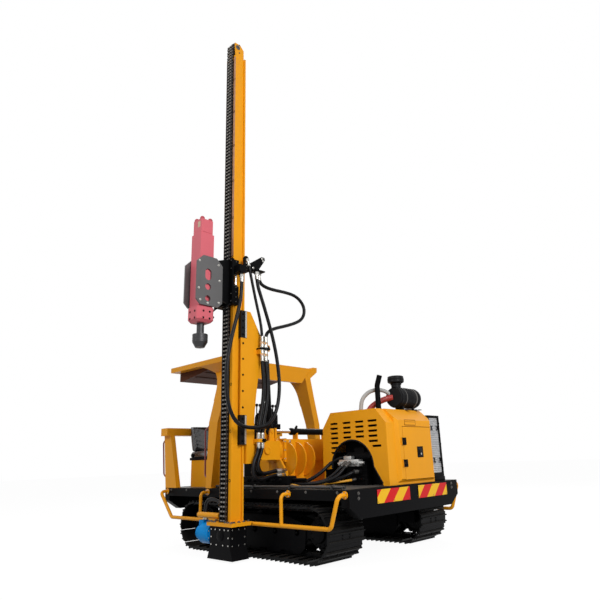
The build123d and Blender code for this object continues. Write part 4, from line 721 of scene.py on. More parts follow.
aluminium = finish(
    "cast_aluminium", (0.46, 0.46, 0.45), 0.34, metal=0.85, mottle=0.15, mottle_size=12, peel=0.25, peel_size=260,
)
dress(black_paint, "hydraulic_pump", edge=0.005)
yellow_sleeve = finish("yellow_sleeve", (0.72, 0.34, 0.02), 0.45, mottle=0.15, peel=0.2, peel_size=300)
made = bmesh.new()
for z in (0.800, 0.850, 0.900, 0.950):
    block(made, (-1.194, -0.956), (0.146, 0.264), (z, z + 0.014), 0.004, 1)
for x in (-1.245, -0.905):
    turned(
        made, (x, 0.205, 1.075), (math.copysign(1, x + 1.075), 0, 0), ((-0.02, 0.066), (0.012, 0.066), (0.016, 0.060)),
        6,
    )
turned(
    made, (-1.075, 0.258, 0.905), LEFT, ((0, 0.046), (0.012, 0.046), (0.016, 0.034), (0.030, 0.032), (0.034, 0.028)),
    24,
)
for x in (-1.13, -1.075, -1.02):
    turned(made, (x, 0.259, 0.815), LEFT, ((0, 0.020), (0.014, 0.020), (0.018, 0.016)), 6)
settle("pump_castings", made, black_paint)
made = bmesh.new()
block(made, (-1.140, -0.830), (0.262, 0.345), (0.965, 1.045), 0.006)
block(made, (-1.020, -0.900), (0.270, 0.335), (1.045, 1.085), 0.006)
for x, z, reach in ((-1.105, 1.005, 0.040), (-1.030, 1.005, 0.055), (-0.955, 1.005, 0.035), (-0.875, 1.005, 0.055)):
    turned(
        made, (x, 0.345, z), (0, 1, -0.25),
        ((-0.002, 0.024), (0.018, 0.024), (0.020, 0.017), (reach, 0.017), (reach + 0.004, 0.012)), 6,
    )
for x in (-1.140, -0.830):
    turned(
        made, (x, 0.300, 1.005), (math.copysign(1, x + 0.985), 0, 0),
        ((-0.002, 0.026), (0.022, 0.026), (0.026, 0.016), (0.050, 0.015)), 6,
    )
settle("pump_valve", made, aluminium)
# Route of each pump hose, its radius and its finish
PUMP_HOSES = (
    ("pump_hose_low", (
        (-0.890, 0.205, 1.075), (-0.780, 0.215, 1.080), (-0.660, 0.300, 1.020), (-0.600, 0.420, 0.900),
        (-0.480, 0.560, 0.800), (-0.300, 0.640, 0.790), (-0.200, 0.655, 0.790),
    ), 0.021, rubber),
    ("pump_hose_high", (
        (-1.075, 0.290, 0.905), (-1.075, 0.370, 0.905), (-1.020, 0.450, 0.860), (-0.880, 0.560, 0.800),
        (-0.640, 0.660, 0.790), (-0.300, 0.720, 0.785), (-0.200, 0.725, 0.785),
    ), 0.021, rubber),
    ("pump_hose_middle", (
        (-0.955, 0.385, 1.000), (-0.950, 0.440, 0.975), (-0.900, 0.520, 0.880), (-0.780, 0.600, 0.800),
        (-0.560, 0.690, 0.785), (-0.200, 0.700, 0.785),
    ), 0.019, rubber),
    ("pump_hose_outer", (
        (-1.030, 0.400, 0.995), (-1.030, 0.460, 0.970), (-0.990, 0.560, 0.860), (-0.860, 0.680, 0.795),
        (-0.560, 0.760, 0.785), (-0.200, 0.755, 0.785),
    ), 0.019, rubber),
    ("pump_hose_yellow", (
        (-1.020, 0.275, 0.815), (-1.020, 0.350, 0.810), (-0.960, 0.460, 0.800), (-0.800, 0.620, 0.785),
        (-0.560, 0.770, 0.775), (-0.200, 0.790, 0.775),
    ), 0.014, yellow_sleeve),
)
ends = bmesh.new()
for name, route, radius, surface in PUMP_HOSES:
    line = fixed_hose(name, route, radius, surface, "chassis")
    crimp(ends, line[0] - (line[1] - line[0]).normalized() * 0.004, line[1] - line[0], radius)
    crimp(ends, line[-1], line[-2] - line[-1], radius)
block(ends, (-0.202, -0.150), (0.620, 0.820), (0.747, 0.835), 0.004)
settle("pump_fittings", ends, worn_steel)

# The oil cooler beside the hood: a black frame round a core of thin aluminium fins on flat
# tubes, with the film that it was delivered in still over the core.
COOLER_X, COOLER_Y, COOLER_LOW, COOLER_TOP = (-1.530, -1.420), (-0.915, -0.642), 0.847, 1.530
film = finish("delivery_film", (0.50, 0.51, 0.52), 0.22, mottle=0.22, mottle_size=11, peel=0.35, peel_size=34, coat=0.4)
dress(black_paint, "cooler_frame", edge=0.003)
dress(film, "cooler_core")
made = bmesh.new()
tubes = bmesh.new()
TUBE_COUNT, FIN_COUNT, FIN_PITCH = 30, 26, 0.0082
tube_pitch = (COOLER_TOP - COOLER_LOW - 0.024) / (TUBE_COUNT - 1)
for face, out in ((COOLER_X[0] + 0.015, -1), (COOLER_X[1] - 0.015, 1)):
    front = face + out * 0.004
    for k in range(TUBE_COUNT):
        z = COOLER_LOW + 0.012 + k * tube_pitch
        width = (COOLER_Y[0] + 0.031, COOLER_Y[1] - 0.031)
        block(tubes, (face - 0.001, face + out * 0.006), width, span(z, 0.003))
        low, high = z + 0.003, z + tube_pitch - 0.003
        for n in range(FIN_COUNT if k < TUBE_COUNT - 1 else 0):
            y = COOLER_Y[0] + 0.034 + n * FIN_PITCH
            lean = 0.003 if n % 2 else -0.003
            quad = ((front, y + lean, low), (front, y - lean, high), (face, y - lean, high), (face, y + lean, low))
            made.faces.new([made.verts.new(p) for p in quad])
fin_aluminium = finish("fin_aluminium", (0.60, 0.60, 0.61), 0.35, metal=0.9, mottle=0.2, mottle_size=20)
settle("cooler_fins", made, fin_aluminium)
settle("cooler_tubes", tubes, fin_aluminium)
made = bmesh.new()
block(
    made, (COOLER_X[0] - 0.008, COOLER_X[1] + 0.008), (COOLER_Y[0] - 0.004, COOLER_Y[1] - 0.001), (0.747, 0.800),
    0.004,
)
for z in (0.90, 1.20, 1.46):
    bolt(made, (COOLER_X[0], COOLER_Y[0] + 0.015, z), REAR, 0.014)
    bolt(made, (COOLER_X[0], COOLER_Y[1] - 0.015, z), REAR, 0.014)
# Crossed clips that hold the film
for y, z, slant in product((COOLER_Y[0] + 0.060, COOLER_Y[1] - 0.075), (1.000, 1.400), (0.5, -0.5)):
    turned(made, (COOLER_X[0] - 0.001, y, z), (0, slant, 0.9), ((-0.035, 0.005), (0.035, 0.005)), 8)
settle("cooler_feet", made, black_paint)

# The air filter, pre-cleaner and exhaust on the hood: a ribbed black plastic canister strapped
# to two cradles, a domed bowl on its neck, and a bent steel pipe, with two intake hoses.
FILTER_X, FILTER_Z, FILTER_Y = -1.340, 1.785, (-0.640, -0.190)
dress(black_plastic, "air_filter", "pre_cleaner", edge=0.003)
dress(black_paint, "exhaust", edge=0.001)
made = bmesh.new()
turned(made, (FILTER_X, FILTER_Y[0] + 0.001, FILTER_Z), LEFT, (
    (-0.006, 0.040), (-0.006, 0.100), (0.002, 0.116), (0.030, 0.122), (0.034, 0.131), (0.050, 0.131), (0.054, 0.122),
    (0.150, 0.1225),
), 48)
for k in range(9):
    turned(
        made, (FILTER_X, FILTER_Y[0] + 0.180 + 0.026 * k, FILTER_Z), LEFT,
        ((0, 0.127), (0.002, 0.132), (0.008, 0.132), (0.010, 0.127)), 48,
    )
turned(
    made, (FILTER_X, FILTER_Y[1] - 0.046, FILTER_Z), LEFT,
    ((0, 0.130), (0.006, 0.133), (0.014, 0.133), (0.018, 0.122), (0.050, 0.118), (0.052, 0.060)), 48,
)
settle("filter_ribs", made, black_plastic)
made = bmesh.new()
for y in (-0.540, -0.310):
    turned(
        made, (FILTER_X, y - 0.014, FILTER_Z), LEFT, ((0, 0.1285), (0.001, 0.1305), (0.027, 0.1305), (0.028, 0.1285)),
        48,
    )
    block(made, (FILTER_X - 0.165, FILTER_X + 0.120), span(y, 0.022), (HOOD_TOP, HOOD_TOP + 0.010), 0.002)
    block(
        made, (FILTER_X + 0.060, FILTER_X + 0.098), span(y, 0.012), (FILTER_Z + 0.075, FILTER_Z + 0.105),
        0.003,
    )
    for x in (-0.100, 0.100):
        bolt(made, (FILTER_X + x * 0.9, y, HOOD_TOP + 0.010), UP, 0.016)
settle("filter_straps", made, worn_steel)
made = bmesh.new()
bowl = (FILTER_X, -0.262, 1.955)
turned(made, bowl, UP, (
    (-0.012, 0.064), (-0.010, 0.070), (0.004, 0.070), (0.008, 0.066), (0.024, 0.1035), (0.028, 0.1055),
    (0.040, 0.1055), (0.044, 0.1035),
    (0.062, 0.1035), (0.066, 0.1055), (0.074, 0.1055), (0.078, 0.1035), (0.096, 0.100), (0.1028, 0.090),
    (0.1032, 0.030), (0.1028, 0.001),
), 48)
for x, y in circle(24, 0.103):
    x, y = x + bowl[0], y + bowl[1]
    block(made, span(x, 0.003), span(y, 0.003), (1.997, 2.018))
settle("pre_cleaner_ribs", made, black_plastic)
grey_rubber = finish("grey_rubber", (0.36, 0.36, 0.35), 0.5, mottle=0.15, mottle_size=10, peel=0.2, peel_size=300)
red_rubber = finish("red_rubber", (0.34, 0.035, 0.03), 0.42, mottle=0.2, mottle_size=10)
# The grey breather hose arches from the hood's top to the filter, the red one is ribbed
fixed_hose("breather_hose", (
    (-0.960, 0.020, 1.600), (-0.962, 0.015, 1.700), (-0.985, 0.000, 1.800), (-1.060, -0.060, 1.885),
    (-1.150, -0.125, 1.900),
    (-1.235, -0.180, 1.872), (-1.295, -0.215, 1.820),
), 0.026, grey_rubber, "chassis")
line = smooth_line("intake_hose", (
    (-1.010, -0.060, 1.600), (-1.030, -0.075, 1.665), (-1.110, -0.120, 1.730), (-1.210, -0.165, 1.770),
    (-1.290, -0.190, 1.785),
    (-1.325, -0.205, 1.785),
), 14)
made = bmesh.new()
skin_over(made, line, [0.036 + (0.004 if k % 3 == 1 else 0) for k in range(len(line))])
settle("intake_hose", made, red_rubber)
made = bmesh.new()
for place, axis, radius in (
    ((-0.960, 0.020, 1.622), UP, 0.030), ((-1.014, -0.063, 1.622), (-0.2, -0.1, 1), 0.042),
    ((-1.180, -0.070, 1.622), UP, 0.040),
):
    turned(
        made, place, axis,
        ((-0.004, radius + 0.010), (0.006, radius + 0.010), (0.008, radius), (0.030, radius), (0.031, radius - 0.004)),
        28,
    )
settle("hood_spigots", made, worn_steel)

# The operator's place: a canopy frame and roof of folded sheet, a guard behind the seat, wine-red
# grab rails, a seat on its box, a lever stand and the oil tank.
dress(enamel, "canopy_frame", "canopy_roof", "front_guard", "seat_box", edge=0.004)
dress(black_paint, "control_stand", "hydraulic_tank", edge=0.004)
# A dark brown sheet with ribs under the roof: painted shade on the roof's underside, where the yellow paint lies in
# deep shadow
roof_shade = finish("roof_painted_shade", (0.085, 0.026, 0.010), 0.6, mottle=0.12, shine=0.2)
made = bmesh.new()
outline = ((0.860, 2.4545), (2.012, 2.4545), (2.012, 2.305), (1.960, 2.300))
skin_rings(made, [[made.verts.new((x, y, z)) for x, z in outline] for y in (-0.822, 0.822)])
for x in (1.15, 1.40, 1.65):
    block(
        made, span(x, 0.014), (-0.780, 0.780), (2.445 - (x - 0.860) * 0.14, 2.4505 - (x - 0.860) * 0.14),
        0.003, 1,
    )
settle("roof_painted_shade", made, roof_shade)
wine_paint = finish("wine_paint", (0.20, 0.010, 0.014), 0.3, mottle=0.15, coat=0.2)
dress(wine_paint, "handrails")
made = bmesh.new()
for side, x, y in product(SIDES, (0.808, 0.868), (0.970, 1.040)):
    bolt(made, (x, side * y, DECK_TOP + 0.012), UP, 0.020)
for x, side in product((1.00, 1.45, 1.90), SIDES):
    bolt(made, (x, side * 0.905, 2.513), UP, 0.016)
settle("canopy_bolts", made, black_paint)
made = bmesh.new()
for y in ((-1.040, -0.8705), (0.890, 1.070)):
    block(made, (0.765, 0.915), y, (DECK_TOP, DECK_TOP + 0.012), 0.003)
settle("canopy_feet", made, enamel)
# Valve bank under the levers, their boots and knobs
made = bmesh.new()
for k in range(7):
    x, y = 0.450, 0.210 + 0.060 * k
    turned(
        made, (x, y, 1.560), UP,
        ((0, 0.026), (0.006, 0.026), (0.012, 0.019), (0.018, 0.022), (0.024, 0.015), (0.030, 0.017), (0.040, 0.0105)),
        20,
    )
    turned(made, (x, y, 1.792), UP, ((0, 0.009), (0.006, 0.016), (0.022, 0.0225), (0.036, 0.019), (0.043, 0.008)), 24)
settle("lever_boots", made, black_plastic)
made = bmesh.new()
for k in range(7):
    y = 0.185 + 0.060 * k
    block(made, (0.386, 0.574), (y, y + 0.050), (1.424, 1.505), 0.004, 1)
    turned(made, (0.388, y + 0.025, 1.470), REAR, ((0, 0.016), (0.012, 0.016), (0.016, 0.012)), 6)
# The levers' covers: place, lean and height of each
for x, y, lean, high in (
    (0.480, 0.230, -0.05, 0.24), (0.492, 0.300, 0, 0.30), (0.480, 0.370, 0.05, 0.36), (0.492, 0.440, -0.05, 0.30),
    (0.480, 0.510, 0, 0.21),
):
    cover = ((0, 0.052), (0.030, 0.060), (high - 0.060, 0.054), (high - 0.020, 0.040), (high, 0.018))
    turned(made, (x, y, 1.500), (lean, 0, 1), cover, 12)
settle("valve_bank", made, black_paint)
# Black valve box beyond the saddle, with the hoses' elbows on it, and pipes along the deck
made = bmesh.new()
block(made, (0.370, 0.640), (0.250, 0.640), (DECK_TOP, 1.130), 0.008)
for y in (0.300, 0.380, 0.460, 0.540):
    turned(made, (0.372, y, 1.050), REAR, ((0, 0.030), (0.020, 0.030), (0.026, 0.022), (0.060, 0.020)), 6)
for k, z in enumerate((0.800, 0.835)):
    turned(made, (-0.640, 0.690 + 0.050 * k, z), FRONT, ((0, 0.020), (1.180, 0.020)), 14)
block(made, (-0.420, 0.420), (0.675, 0.830), (DECK_TOP, 0.880), 0.010)
for x in (-0.300, -0.180, -0.060, 0.060, 0.180, 0.300):
    turned(made, (x, 0.820, 0.830), (0, 1, 0.2), ((0, 0.024), (0.018, 0.024), (0.024, 0.019), (0.050, 0.018)), 6)
settle("valve_box", made, black_paint)
# The tank's filler cap, sight glass and clean-out cover
made = bmesh.new()
turned(
    made, (0.460, -0.900, 1.258), UP, ((0, 0.052), (0.004, 0.056), (0.022, 0.056), (0.028, 0.050), (0.030, 0.012)), 16,
)
turned(made, (0.230, -0.745, 1.000), REAR, ((0, 0.085), (0.010, 0.085), (0.013, 0.080)), 40)
for y, z in circle(8, 0.070):
    bolt(made, (0.220, y - 0.745, z + 1.000), REAR, 0.012, False)
block(made, (0.222, 0.231), (-0.560, -0.520), (0.900, 1.120), 0.003)
settle("tank_fittings", made, black_paint)

# The operator's seat: foam in black vinyl on a steel pan, still in its clear delivery film,
# with a pale band across the cushion. It faces the levers.


def cushion(name, corner, size, crown, lean, surface):
    """A crowned pad: a fine block whose faces swell between its seams and whose sides pull in."""
    made = bmesh.new()
    bmesh.ops.create_grid(made, x_segments=26, y_segments=26, size=0.5)
    top = list(made.verts)
    lower = bmesh.ops.duplicate(made, geom=made.verts[:] + made.edges[:] + made.faces[:])
    bottom = [v for v in lower["geom"] if isinstance(v, bmesh.types.BMVert)]
    for verts, sign in ((top, 1), (bottom, -1)):
        for v in verts:
            u, w = v.co.x * 2, v.co.y * 2
            rim = (1 - abs(u) ** 5) * (1 - abs(w) ** 5)
            channel = 0.85 + 0.15 * min(1.0, abs(math.sin(math.pi * (u + 1) * 1.5)) * 3)
            swell = crown * rim ** 0.6 * (channel if sign > 0 else 0.4)
            pinch = 1 - 0.035 * (abs(u) ** 2 + abs(w) ** 2) / 2
            wrinkle = 0.0022 * math.sin(17 * u + 5 * w) * math.sin(11 * w - 3 * u) * rim
            half = size[2] / 2 - crown
            height = sign * (half * min(1.0, rim * 6) + swell) + wrinkle
            v.co = Vector((v.co.x * size[0] * pinch, v.co.y * size[1] * pinch, height))
    bmesh.ops.remove_doubles(made, verts=made.verts, dist=0.0006)
    edges = [e for e in made.edges if e.is_boundary]
    if edges:
        bmesh.ops.bridge_loops(made, edges=edges)
    spin = Matrix.Rotation(lean, 4, "Y")
    for v in made.verts:
        v.co = spin @ v.co + Vector(corner)
    pad = settle(name, made, surface, "chassis", 75)
    soft = pad.modifiers.new("soft", "SUBSURF")
    soft.levels = soft.render_levels = 1
    return pad


def wrapped_vinyl(name, colour):
    """Vinyl under a clear film that has creased over it."""
    made = finish(name, colour, 0.26, mottle=0.3, mottle_size=16, peel=0.9, peel_size=20, coat=1.0)
    made.node_tree.nodes["Principled BSDF"].inputs["Coat Roughness"].default_value = 0.16
    return made


vinyl = wrapped_vinyl("seat_cover", (0.010, 0.010, 0.013))
pale_vinyl = wrapped_vinyl("pale_band", (0.42, 0.42, 0.43))
base = cushion("seat_cushion", (1.415, 0.630, 1.184), (0.440, 0.452, 0.118), 0.022, 0.0, vinyl)
cushion("seat_back", (1.603, 0.630, 1.412), (0.375, 0.444, 0.108), 0.020, math.radians(-78), vinyl)
cushion("seat_band", (1.256, 0.630, 1.190), (0.110, 0.438, 0.090), 0.012, 0.0, pale_vinyl)
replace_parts(base, "seat")
made = bmesh.new()
block(made, (1.198, 1.632), (0.410, 0.850), (1.110, 1.146), 0.006)
turned(made, (1.560, 0.404, 1.175), RIGHT, ((-0.006, 0.030), (0.000, 0.030), (0.003, 0.026)), 24)
turned(made, (1.560, 0.856, 1.175), LEFT, ((-0.006, 0.030), (0.000, 0.030), (0.003, 0.026)), 24)
settle("seat_pan", made, black_paint)

# The boom across the deck: a bolted saddle with curved fins, a telescoping box boom of welded
# plate with a collar, and the cylinder that drives it, with a chromed rod and two ports.
dress(enamel, "boom_saddle", "outer_boom", "inner_boom", "yoke", edge=0.003)
dress(black_paint, "telescope_barrel", "tilt_barrel", edge=0.002)
chrome = finish("chrome", (0.78, 0.78, 0.79), 0.07, metal=1.0, mottle=0.03, peel=0.0)
dress(chrome, "telescope_rod", "tilt_rod", edge=0.001)
made = bmesh.new()
for y, reach in ((-0.380, 1), (0.360, -1)):
    turned(made, (0, y, 1.432), (0, reach, 0), ((-0.002, 0.044), (0.0, 0.047), (0.030, 0.047), (0.034, 0.0425)), 40)
turned(made, (0, 0.362, 1.432), LEFT, ((-0.004, 0.040), (0.006, 0.038), (0.008, 0.0262)), 40)
for y in (-0.320, 0.290):
    turned(made, (-0.034, y, 1.470), (-0.5, 0, 0.9), ((0, 0.019), (0.018, 0.019), (0.020, 0.015), (0.040, 0.014)), 6)
settle("telescope_glands", made, black_paint)
made = bmesh.new()
for side, y, z in product(SIDES, (0.535, 0.625), (1.085, 1.190, 1.295)):
    bolt(made, (side * 0.170, y, z), (side, 0, 0), 0.020)
for x, y in product((-0.220, -0.090, 0.090, 0.220), (-0.370, 0.640)):
    bolt(made, (x, y, DECK_TOP + 0.025), UP, 0.026)
settle("boom_bolts", made, zinc)
made = bmesh.new()
for y in (-0.300, 0.270):
    block(made, (-0.047, 0.047), span(y, 0.020), (1.325, 1.337), 0.003)
block(made, (-0.176, 0.176), (0.600, 0.6405), (1.3245, 1.334), 0.003)
block(made, (-0.176, -0.169), (0.600, 0.6405), (1.045, 1.334), 0.003)
block(made, (0.169, 0.176), (0.600, 0.6405), (1.045, 1.334), 0.003)
settle("boom_collar", made, enamel)
# Bolts of the flange that the yoke turns on
made = bmesh.new()
for x, z in circle(16, 0.128, 0.5):
    # none at the flange's top and at its lower rear
    if z <= 0.1024 and (x >= -0.064 or z >= -0.0384):
        bolt(made, (x, 0.645, z + 1.190), RIGHT, 0.018)
settle("flange_bolts", made, zinc, "boom")

# The yoke that carries the mast: two welded cheeks on a turning flange, with capped pins in the
# same enamel, and a black clamp for the hoses.
made = bmesh.new()
for side in SIDES:
    turned(
        made, (side * 0.165, 0.914, 1.190), (side, 0, 0),
        ((-0.006, 0.050), (0.004, 0.050), (0.008, 0.046), (0.009, 0.030), (0.004, 0.028)), 36,
    )
    bolt(made, (side * 0.152, 0.986, 1.190), (side, 0, 0), 0.018)
    turned(made, (side * 0.058, 0.740, 1.430), (side, 0, 0), ((-0.003, 0.026), (0.004, 0.026), (0.007, 0.022)), 24)
settle("yoke_pins", made, enamel, "yoke")
made = bmesh.new()
block(made, (-0.239, -0.164), (1.006, 1.068), (1.284, 1.326), 0.004)
for y in (1.070, 1.005):
    bolt(made, (-0.239, y, 1.305), REAR, 0.014, False)
settle("yoke_clamp", made, black_paint, "yoke")

# The holder: a curved box girder in yellow enamel with four black plastic pads, which are held
# by steel strips and bolts, and a bulkhead plate for the hoses' fittings.
dress(enamel, "mast_holder", edge=0.003)
dress(black_plastic, "wear_pads", edge=0.002)
made = bmesh.new()
strip = bmesh.new()
for low, high in ((1.260, 1.610), (2.570, 2.930)):
    for side in SIDES:
        block(strip, (side * 0.150, side * 0.1445), (1.244, 1.268), (low + 0.006, high - 0.006), 0.0015, 1)
        for k in range(4):
            z = low + 0.045 + k * (high - low - 0.090) / 3
            bolt(made, (side * 0.145, 1.302, z), (side, 0, 0), 0.018)
settle("pad_strips", strip, zinc, "holder")
for z, side in product((1.70, 1.90, 2.10, 2.30, 2.50), SIDES):
    bolt(made, (side * 0.145, 1.300, z), (side, 0, 0), 0.016)
for side in SIDES:
    turned(made, (side * 0.052, 0.800, 2.510), (side, 0, 0), ((-0.002, 0.030), (0.006, 0.030), (0.010, 0.025)), 28)
settle("holder_bolts", made, black_paint, "holder")
made = bmesh.new()
for y in (0.975, 1.036):
    turned(made, (DROP_X, y, 2.459), UP, ((0, 0.034), (0.016, 0.034), (0.019, 0.030)), 6)
    turned(made, (DROP_X, y, 2.441), DOWN, ((0, 0.034), (0.016, 0.034), (0.019, 0.030)), 6)
settle("bulkhead_nuts", made, zinc, "holder")
made = bmesh.new()
block(made, (-0.245, -0.144), (0.928, 1.082), (2.4385, 2.4615), 0.003)
settle("bulkhead_cover", made, black_paint, "holder")

# The mast: a box tube between a wide inner flange and two outer rails, welded and painted, with
# black screws along the rail, a bolted foot plate and ears for the upper sprocket.
MAST_OUT, CHAIN_Y, CHAIN_LOW, CHAIN_HIGH, CHAIN_R = 1.440, 1.390, 0.270, 7.060, 0.073
dress(enamel, "mast", edge=0.003)
made = bmesh.new()
for k in range(11):
    z = 6.460 - 0.560 * k
    for side in SIDES:
        turned(
            made, (side * 0.085, MAST_OUT, z), LEFT,
            ((-0.002, 0.019), (0.0008, 0.019), (0.0010, 0.012), (-0.001, 0.010)), 20,
        )
settle("rail_screws", made, black_and_painted_shade, "mast")
# Dark strips: painted shade in the chain's channel behind the chain, a dark strip on the rail beside it, and the rubbed
# strip of the rail's upper part
made = bmesh.new()
block(made, (-0.0615, 0.0615), (1.4143, 1.4165), (0.415, 6.860), 0.0005, 1)
block(made, (0.0600, 0.0618), (1.4143, 1.4402), (0.415, 6.860), 0.0005, 1)
block(made, (0.0620, 0.1070), (1.4395, 1.4402), (0.415, 6.860), 0.0001, 1)
settle("channel_shade_strips", made, black_and_painted_shade, "mast")
made = bmesh.new()
block(made, (-0.1060, -0.0640), (1.4395, 1.4402), (3.660, 6.860), 0.0001, 1)
settle(
    "rail_strip", made, finish("rubbed_rail", (0.46, 0.25, 0.16), 0.4, mottle=0.45, mottle_size=26, shine=0.3),
    "mast",
)
made = bmesh.new()
hub = ((-0.002, 0.038), (0.008, 0.038), (0.011, 0.034), (0.012, 0.013), (0.022, 0.012))
for side in SIDES:
    turned(made, (side * 0.088, CHAIN_Y, CHAIN_HIGH), (side, 0, 0), hub, 32)
    for z in (6.98, 7.12):
        bolt(made, (side * 0.088, CHAIN_Y - 0.030, z), (side, 0, 0), 0.014)
settle("sprocket_hubs", made, worn_steel, "mast")
made = bmesh.new()
for x, y in product((-0.212, 0.212), (1.262, 1.330, 1.400, 1.470, 1.505)):
    bolt(made, (x, y, 0.410), UP, 0.024)
for x in (-0.150, -0.100, 0.100, 0.150):
    bolt(made, (x, 1.503, 0.410), UP, 0.022)
settle("foot_plate_bolts", made, worn_steel, "mast")

# The feed chain: a wide steel roller chain, its dark oiled side plates in two ranks and its
# rollers and pin ends worn bright, round a drive sprocket below and an idler above.
CHAIN_PITCH = 0.0508
CHAIN_RUN = CHAIN_HIGH - CHAIN_LOW
CHAIN_LOOP = 2 * (CHAIN_RUN + math.pi * CHAIN_R)
LINKS = 2 * round(CHAIN_LOOP / 2 / CHAIN_PITCH)
LINK = CHAIN_LOOP / LINKS


def on_chain(reach):
    """Place on the chain's pitch line, as (Y, Z), at a distance around it."""
    reach %= CHAIN_LOOP
    if reach < CHAIN_RUN:
        return CHAIN_Y + CHAIN_R, CHAIN_LOW + reach
    reach -= CHAIN_RUN
    if reach < math.pi * CHAIN_R:
        a = reach / CHAIN_R
        return CHAIN_Y + CHAIN_R * math.cos(a), CHAIN_HIGH + CHAIN_R * math.sin(a)
    reach -= math.pi * CHAIN_R
    if reach < CHAIN_RUN:
        return CHAIN_Y - CHAIN_R, CHAIN_HIGH - reach
    a = (reach - CHAIN_RUN) / CHAIN_R
    return CHAIN_Y - CHAIN_R * math.cos(a), CHAIN_LOW - CHAIN_R * math.sin(a)


def link_plate(made, start, end, x, thick, high):
    """Adds one side plate, waisted between the two pins that it joins."""
    a, b = Vector((x, *start)), Vector((x, *end))
    along = (b - a).normalized()
    across = Vector(FRONT).cross(along)
    outline = []
    for centre, first in ((b, -80), (a, 100)):
        for n in range(5):
            angle = math.radians(first + 40 * n)
            outline.append(centre + high * (math.cos(angle) * along + math.sin(angle) * across))
        outline.append((a + b) / 2 + across * high * (0.66 if centre is b else -0.66))
    faces = [[made.verts.new(p + Vector((side * thick / 2, 0, 0))) for p in outline] for side in SIDES]
    skin_rings(made, faces)


oiled_steel = finish("oiled_steel", (0.020, 0.019, 0.020), 0.34, metal=0.6, mottle=0.35, mottle_size=25, peel=0.1)
worn_bright = finish("worn_bright", (0.20, 0.185, 0.165), 0.34, metal=0.9, mottle=0.3, mottle_size=30, peel=0.08)
plates = bmesh.new()
pins = bmesh.new()
for k in range(LINKS):
    start, end = on_chain(k * LINK), on_chain((k + 1) * LINK)
    for x in (-0.053, -0.001, 0.053) if k % 2 else (-0.047, 0.047):
        link_plate(plates, start, end, x, 0.005, 0.0165)
    turned(pins, (-0.0575, *start), FRONT, ((0, 0.0065), (0.001, 0.0075), (0.114, 0.0075), (0.115, 0.0065)), 8)
    turned(pins, (-0.0435, *start), FRONT, ((0, 0.0125), (0.086, 0.0125)), 10)
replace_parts(settle("chain_plates", plates, oiled_steel, "mast", 40), "feed_chain")
settle("chain_pins", pins, worn_bright, "mast", 40)
dress(worn_steel, "chain_sprockets", edge=0.001)

# The foot: a box of black plate with a flared skirt, its covers held by rows of plated bolts,
# and the blue gear motor of the feed on its front, under a round guard bar.
dress(black_paint, "mast_foot", edge=0.003)
dress(enamel, "motor_guard")
made = bmesh.new()
for x, z in (
    (-0.155, 0.335), (-0.085, 0.335), (0.000, 0.335), (0.085, 0.335), (0.160, 0.335), (-0.155, 0.255), (0.160, 0.255),
    (-0.155, 0.175), (-0.060, 0.175), (0.060, 0.175), (0.160, 0.175),
):
    bolt(made, (x, 1.500, z), LEFT, 0.015, False)
for y, z in (
    (1.290, 0.335), (1.380, 0.335), (1.470, 0.335), (1.290, 0.250), (1.470, 0.250), (1.290, 0.170), (1.380, 0.170),
    (1.470, 0.170),
):
    bolt(made, (-0.180, y, z), REAR, 0.015, False)
settle("foot_bolts", made, zinc, "mast")
made = bmesh.new()
turned(
    made, (0, 1.500, CHAIN_LOW), LEFT,
    ((-0.002, 0.060), (0.006, 0.060), (0.009, 0.055), (0.010, 0.020), (0.014, 0.018)), 36,
)
settle("foot_cover", made, black_paint, "mast")
blue_paint = finish("blue_paint", (0.004, 0.255, 0.66), 0.36, mottle=0.08, shine=0.2)
dress(blue_paint, "feed_motor", edge=0.003)
made = bmesh.new()
for y, z in circle(8, 0.100, 0.5):
    bolt(made, (0.246, y + CHAIN_Y, z + CHAIN_LOW), REAR, 0.016, False)
    bolt(made, (0.434, y + CHAIN_Y, z + CHAIN_LOW), FRONT, 0.014, False)
settle("motor_bolts", made, zinc, "mast")
made = bmesh.new()
turned(made, (0.275, CHAIN_Y, CHAIN_LOW), FRONT, ((0, 0.117), (0.002, 0.1185), (0.012, 0.1185), (0.014, 0.117)), 48)
turned(made, (0.524, CHAIN_Y, CHAIN_LOW), FRONT, ((0, 0.070), (0.010, 0.066), (0.014, 0.030), (0.016, 0.028)), 40)
settle("motor_ribs", made, blue_paint, "mast")
MOTOR_HOSE_R = 0.017
ends = bmesh.new()
for name, x, low, top in (("motor_hose_inner", 0.455, 0.560, 0.640), ("motor_hose_outer", 0.490, 0.602, 0.655)):
    line = fixed_hose(name, (
        (x, CHAIN_Y - 0.020, 0.412), (x, CHAIN_Y - 0.020, 0.500), (x - 0.020, CHAIN_Y - 0.024, top - 0.030),
        (x - 0.120, 1.364, top),
        (x - 0.240, 1.363, top - 0.020), (0.145 + (x - 0.455), 1.363, 0.590), (0.118, 1.363, low),
    ), MOTOR_HOSE_R, rubber, "mast")
    crimp(ends, line[0], line[1] - line[0], MOTOR_HOSE_R)
block(ends, (0.088, 0.120), (1.340, 1.386), (0.530, 0.630), 0.003)
settle("motor_hose_block", ends, zinc, "mast")

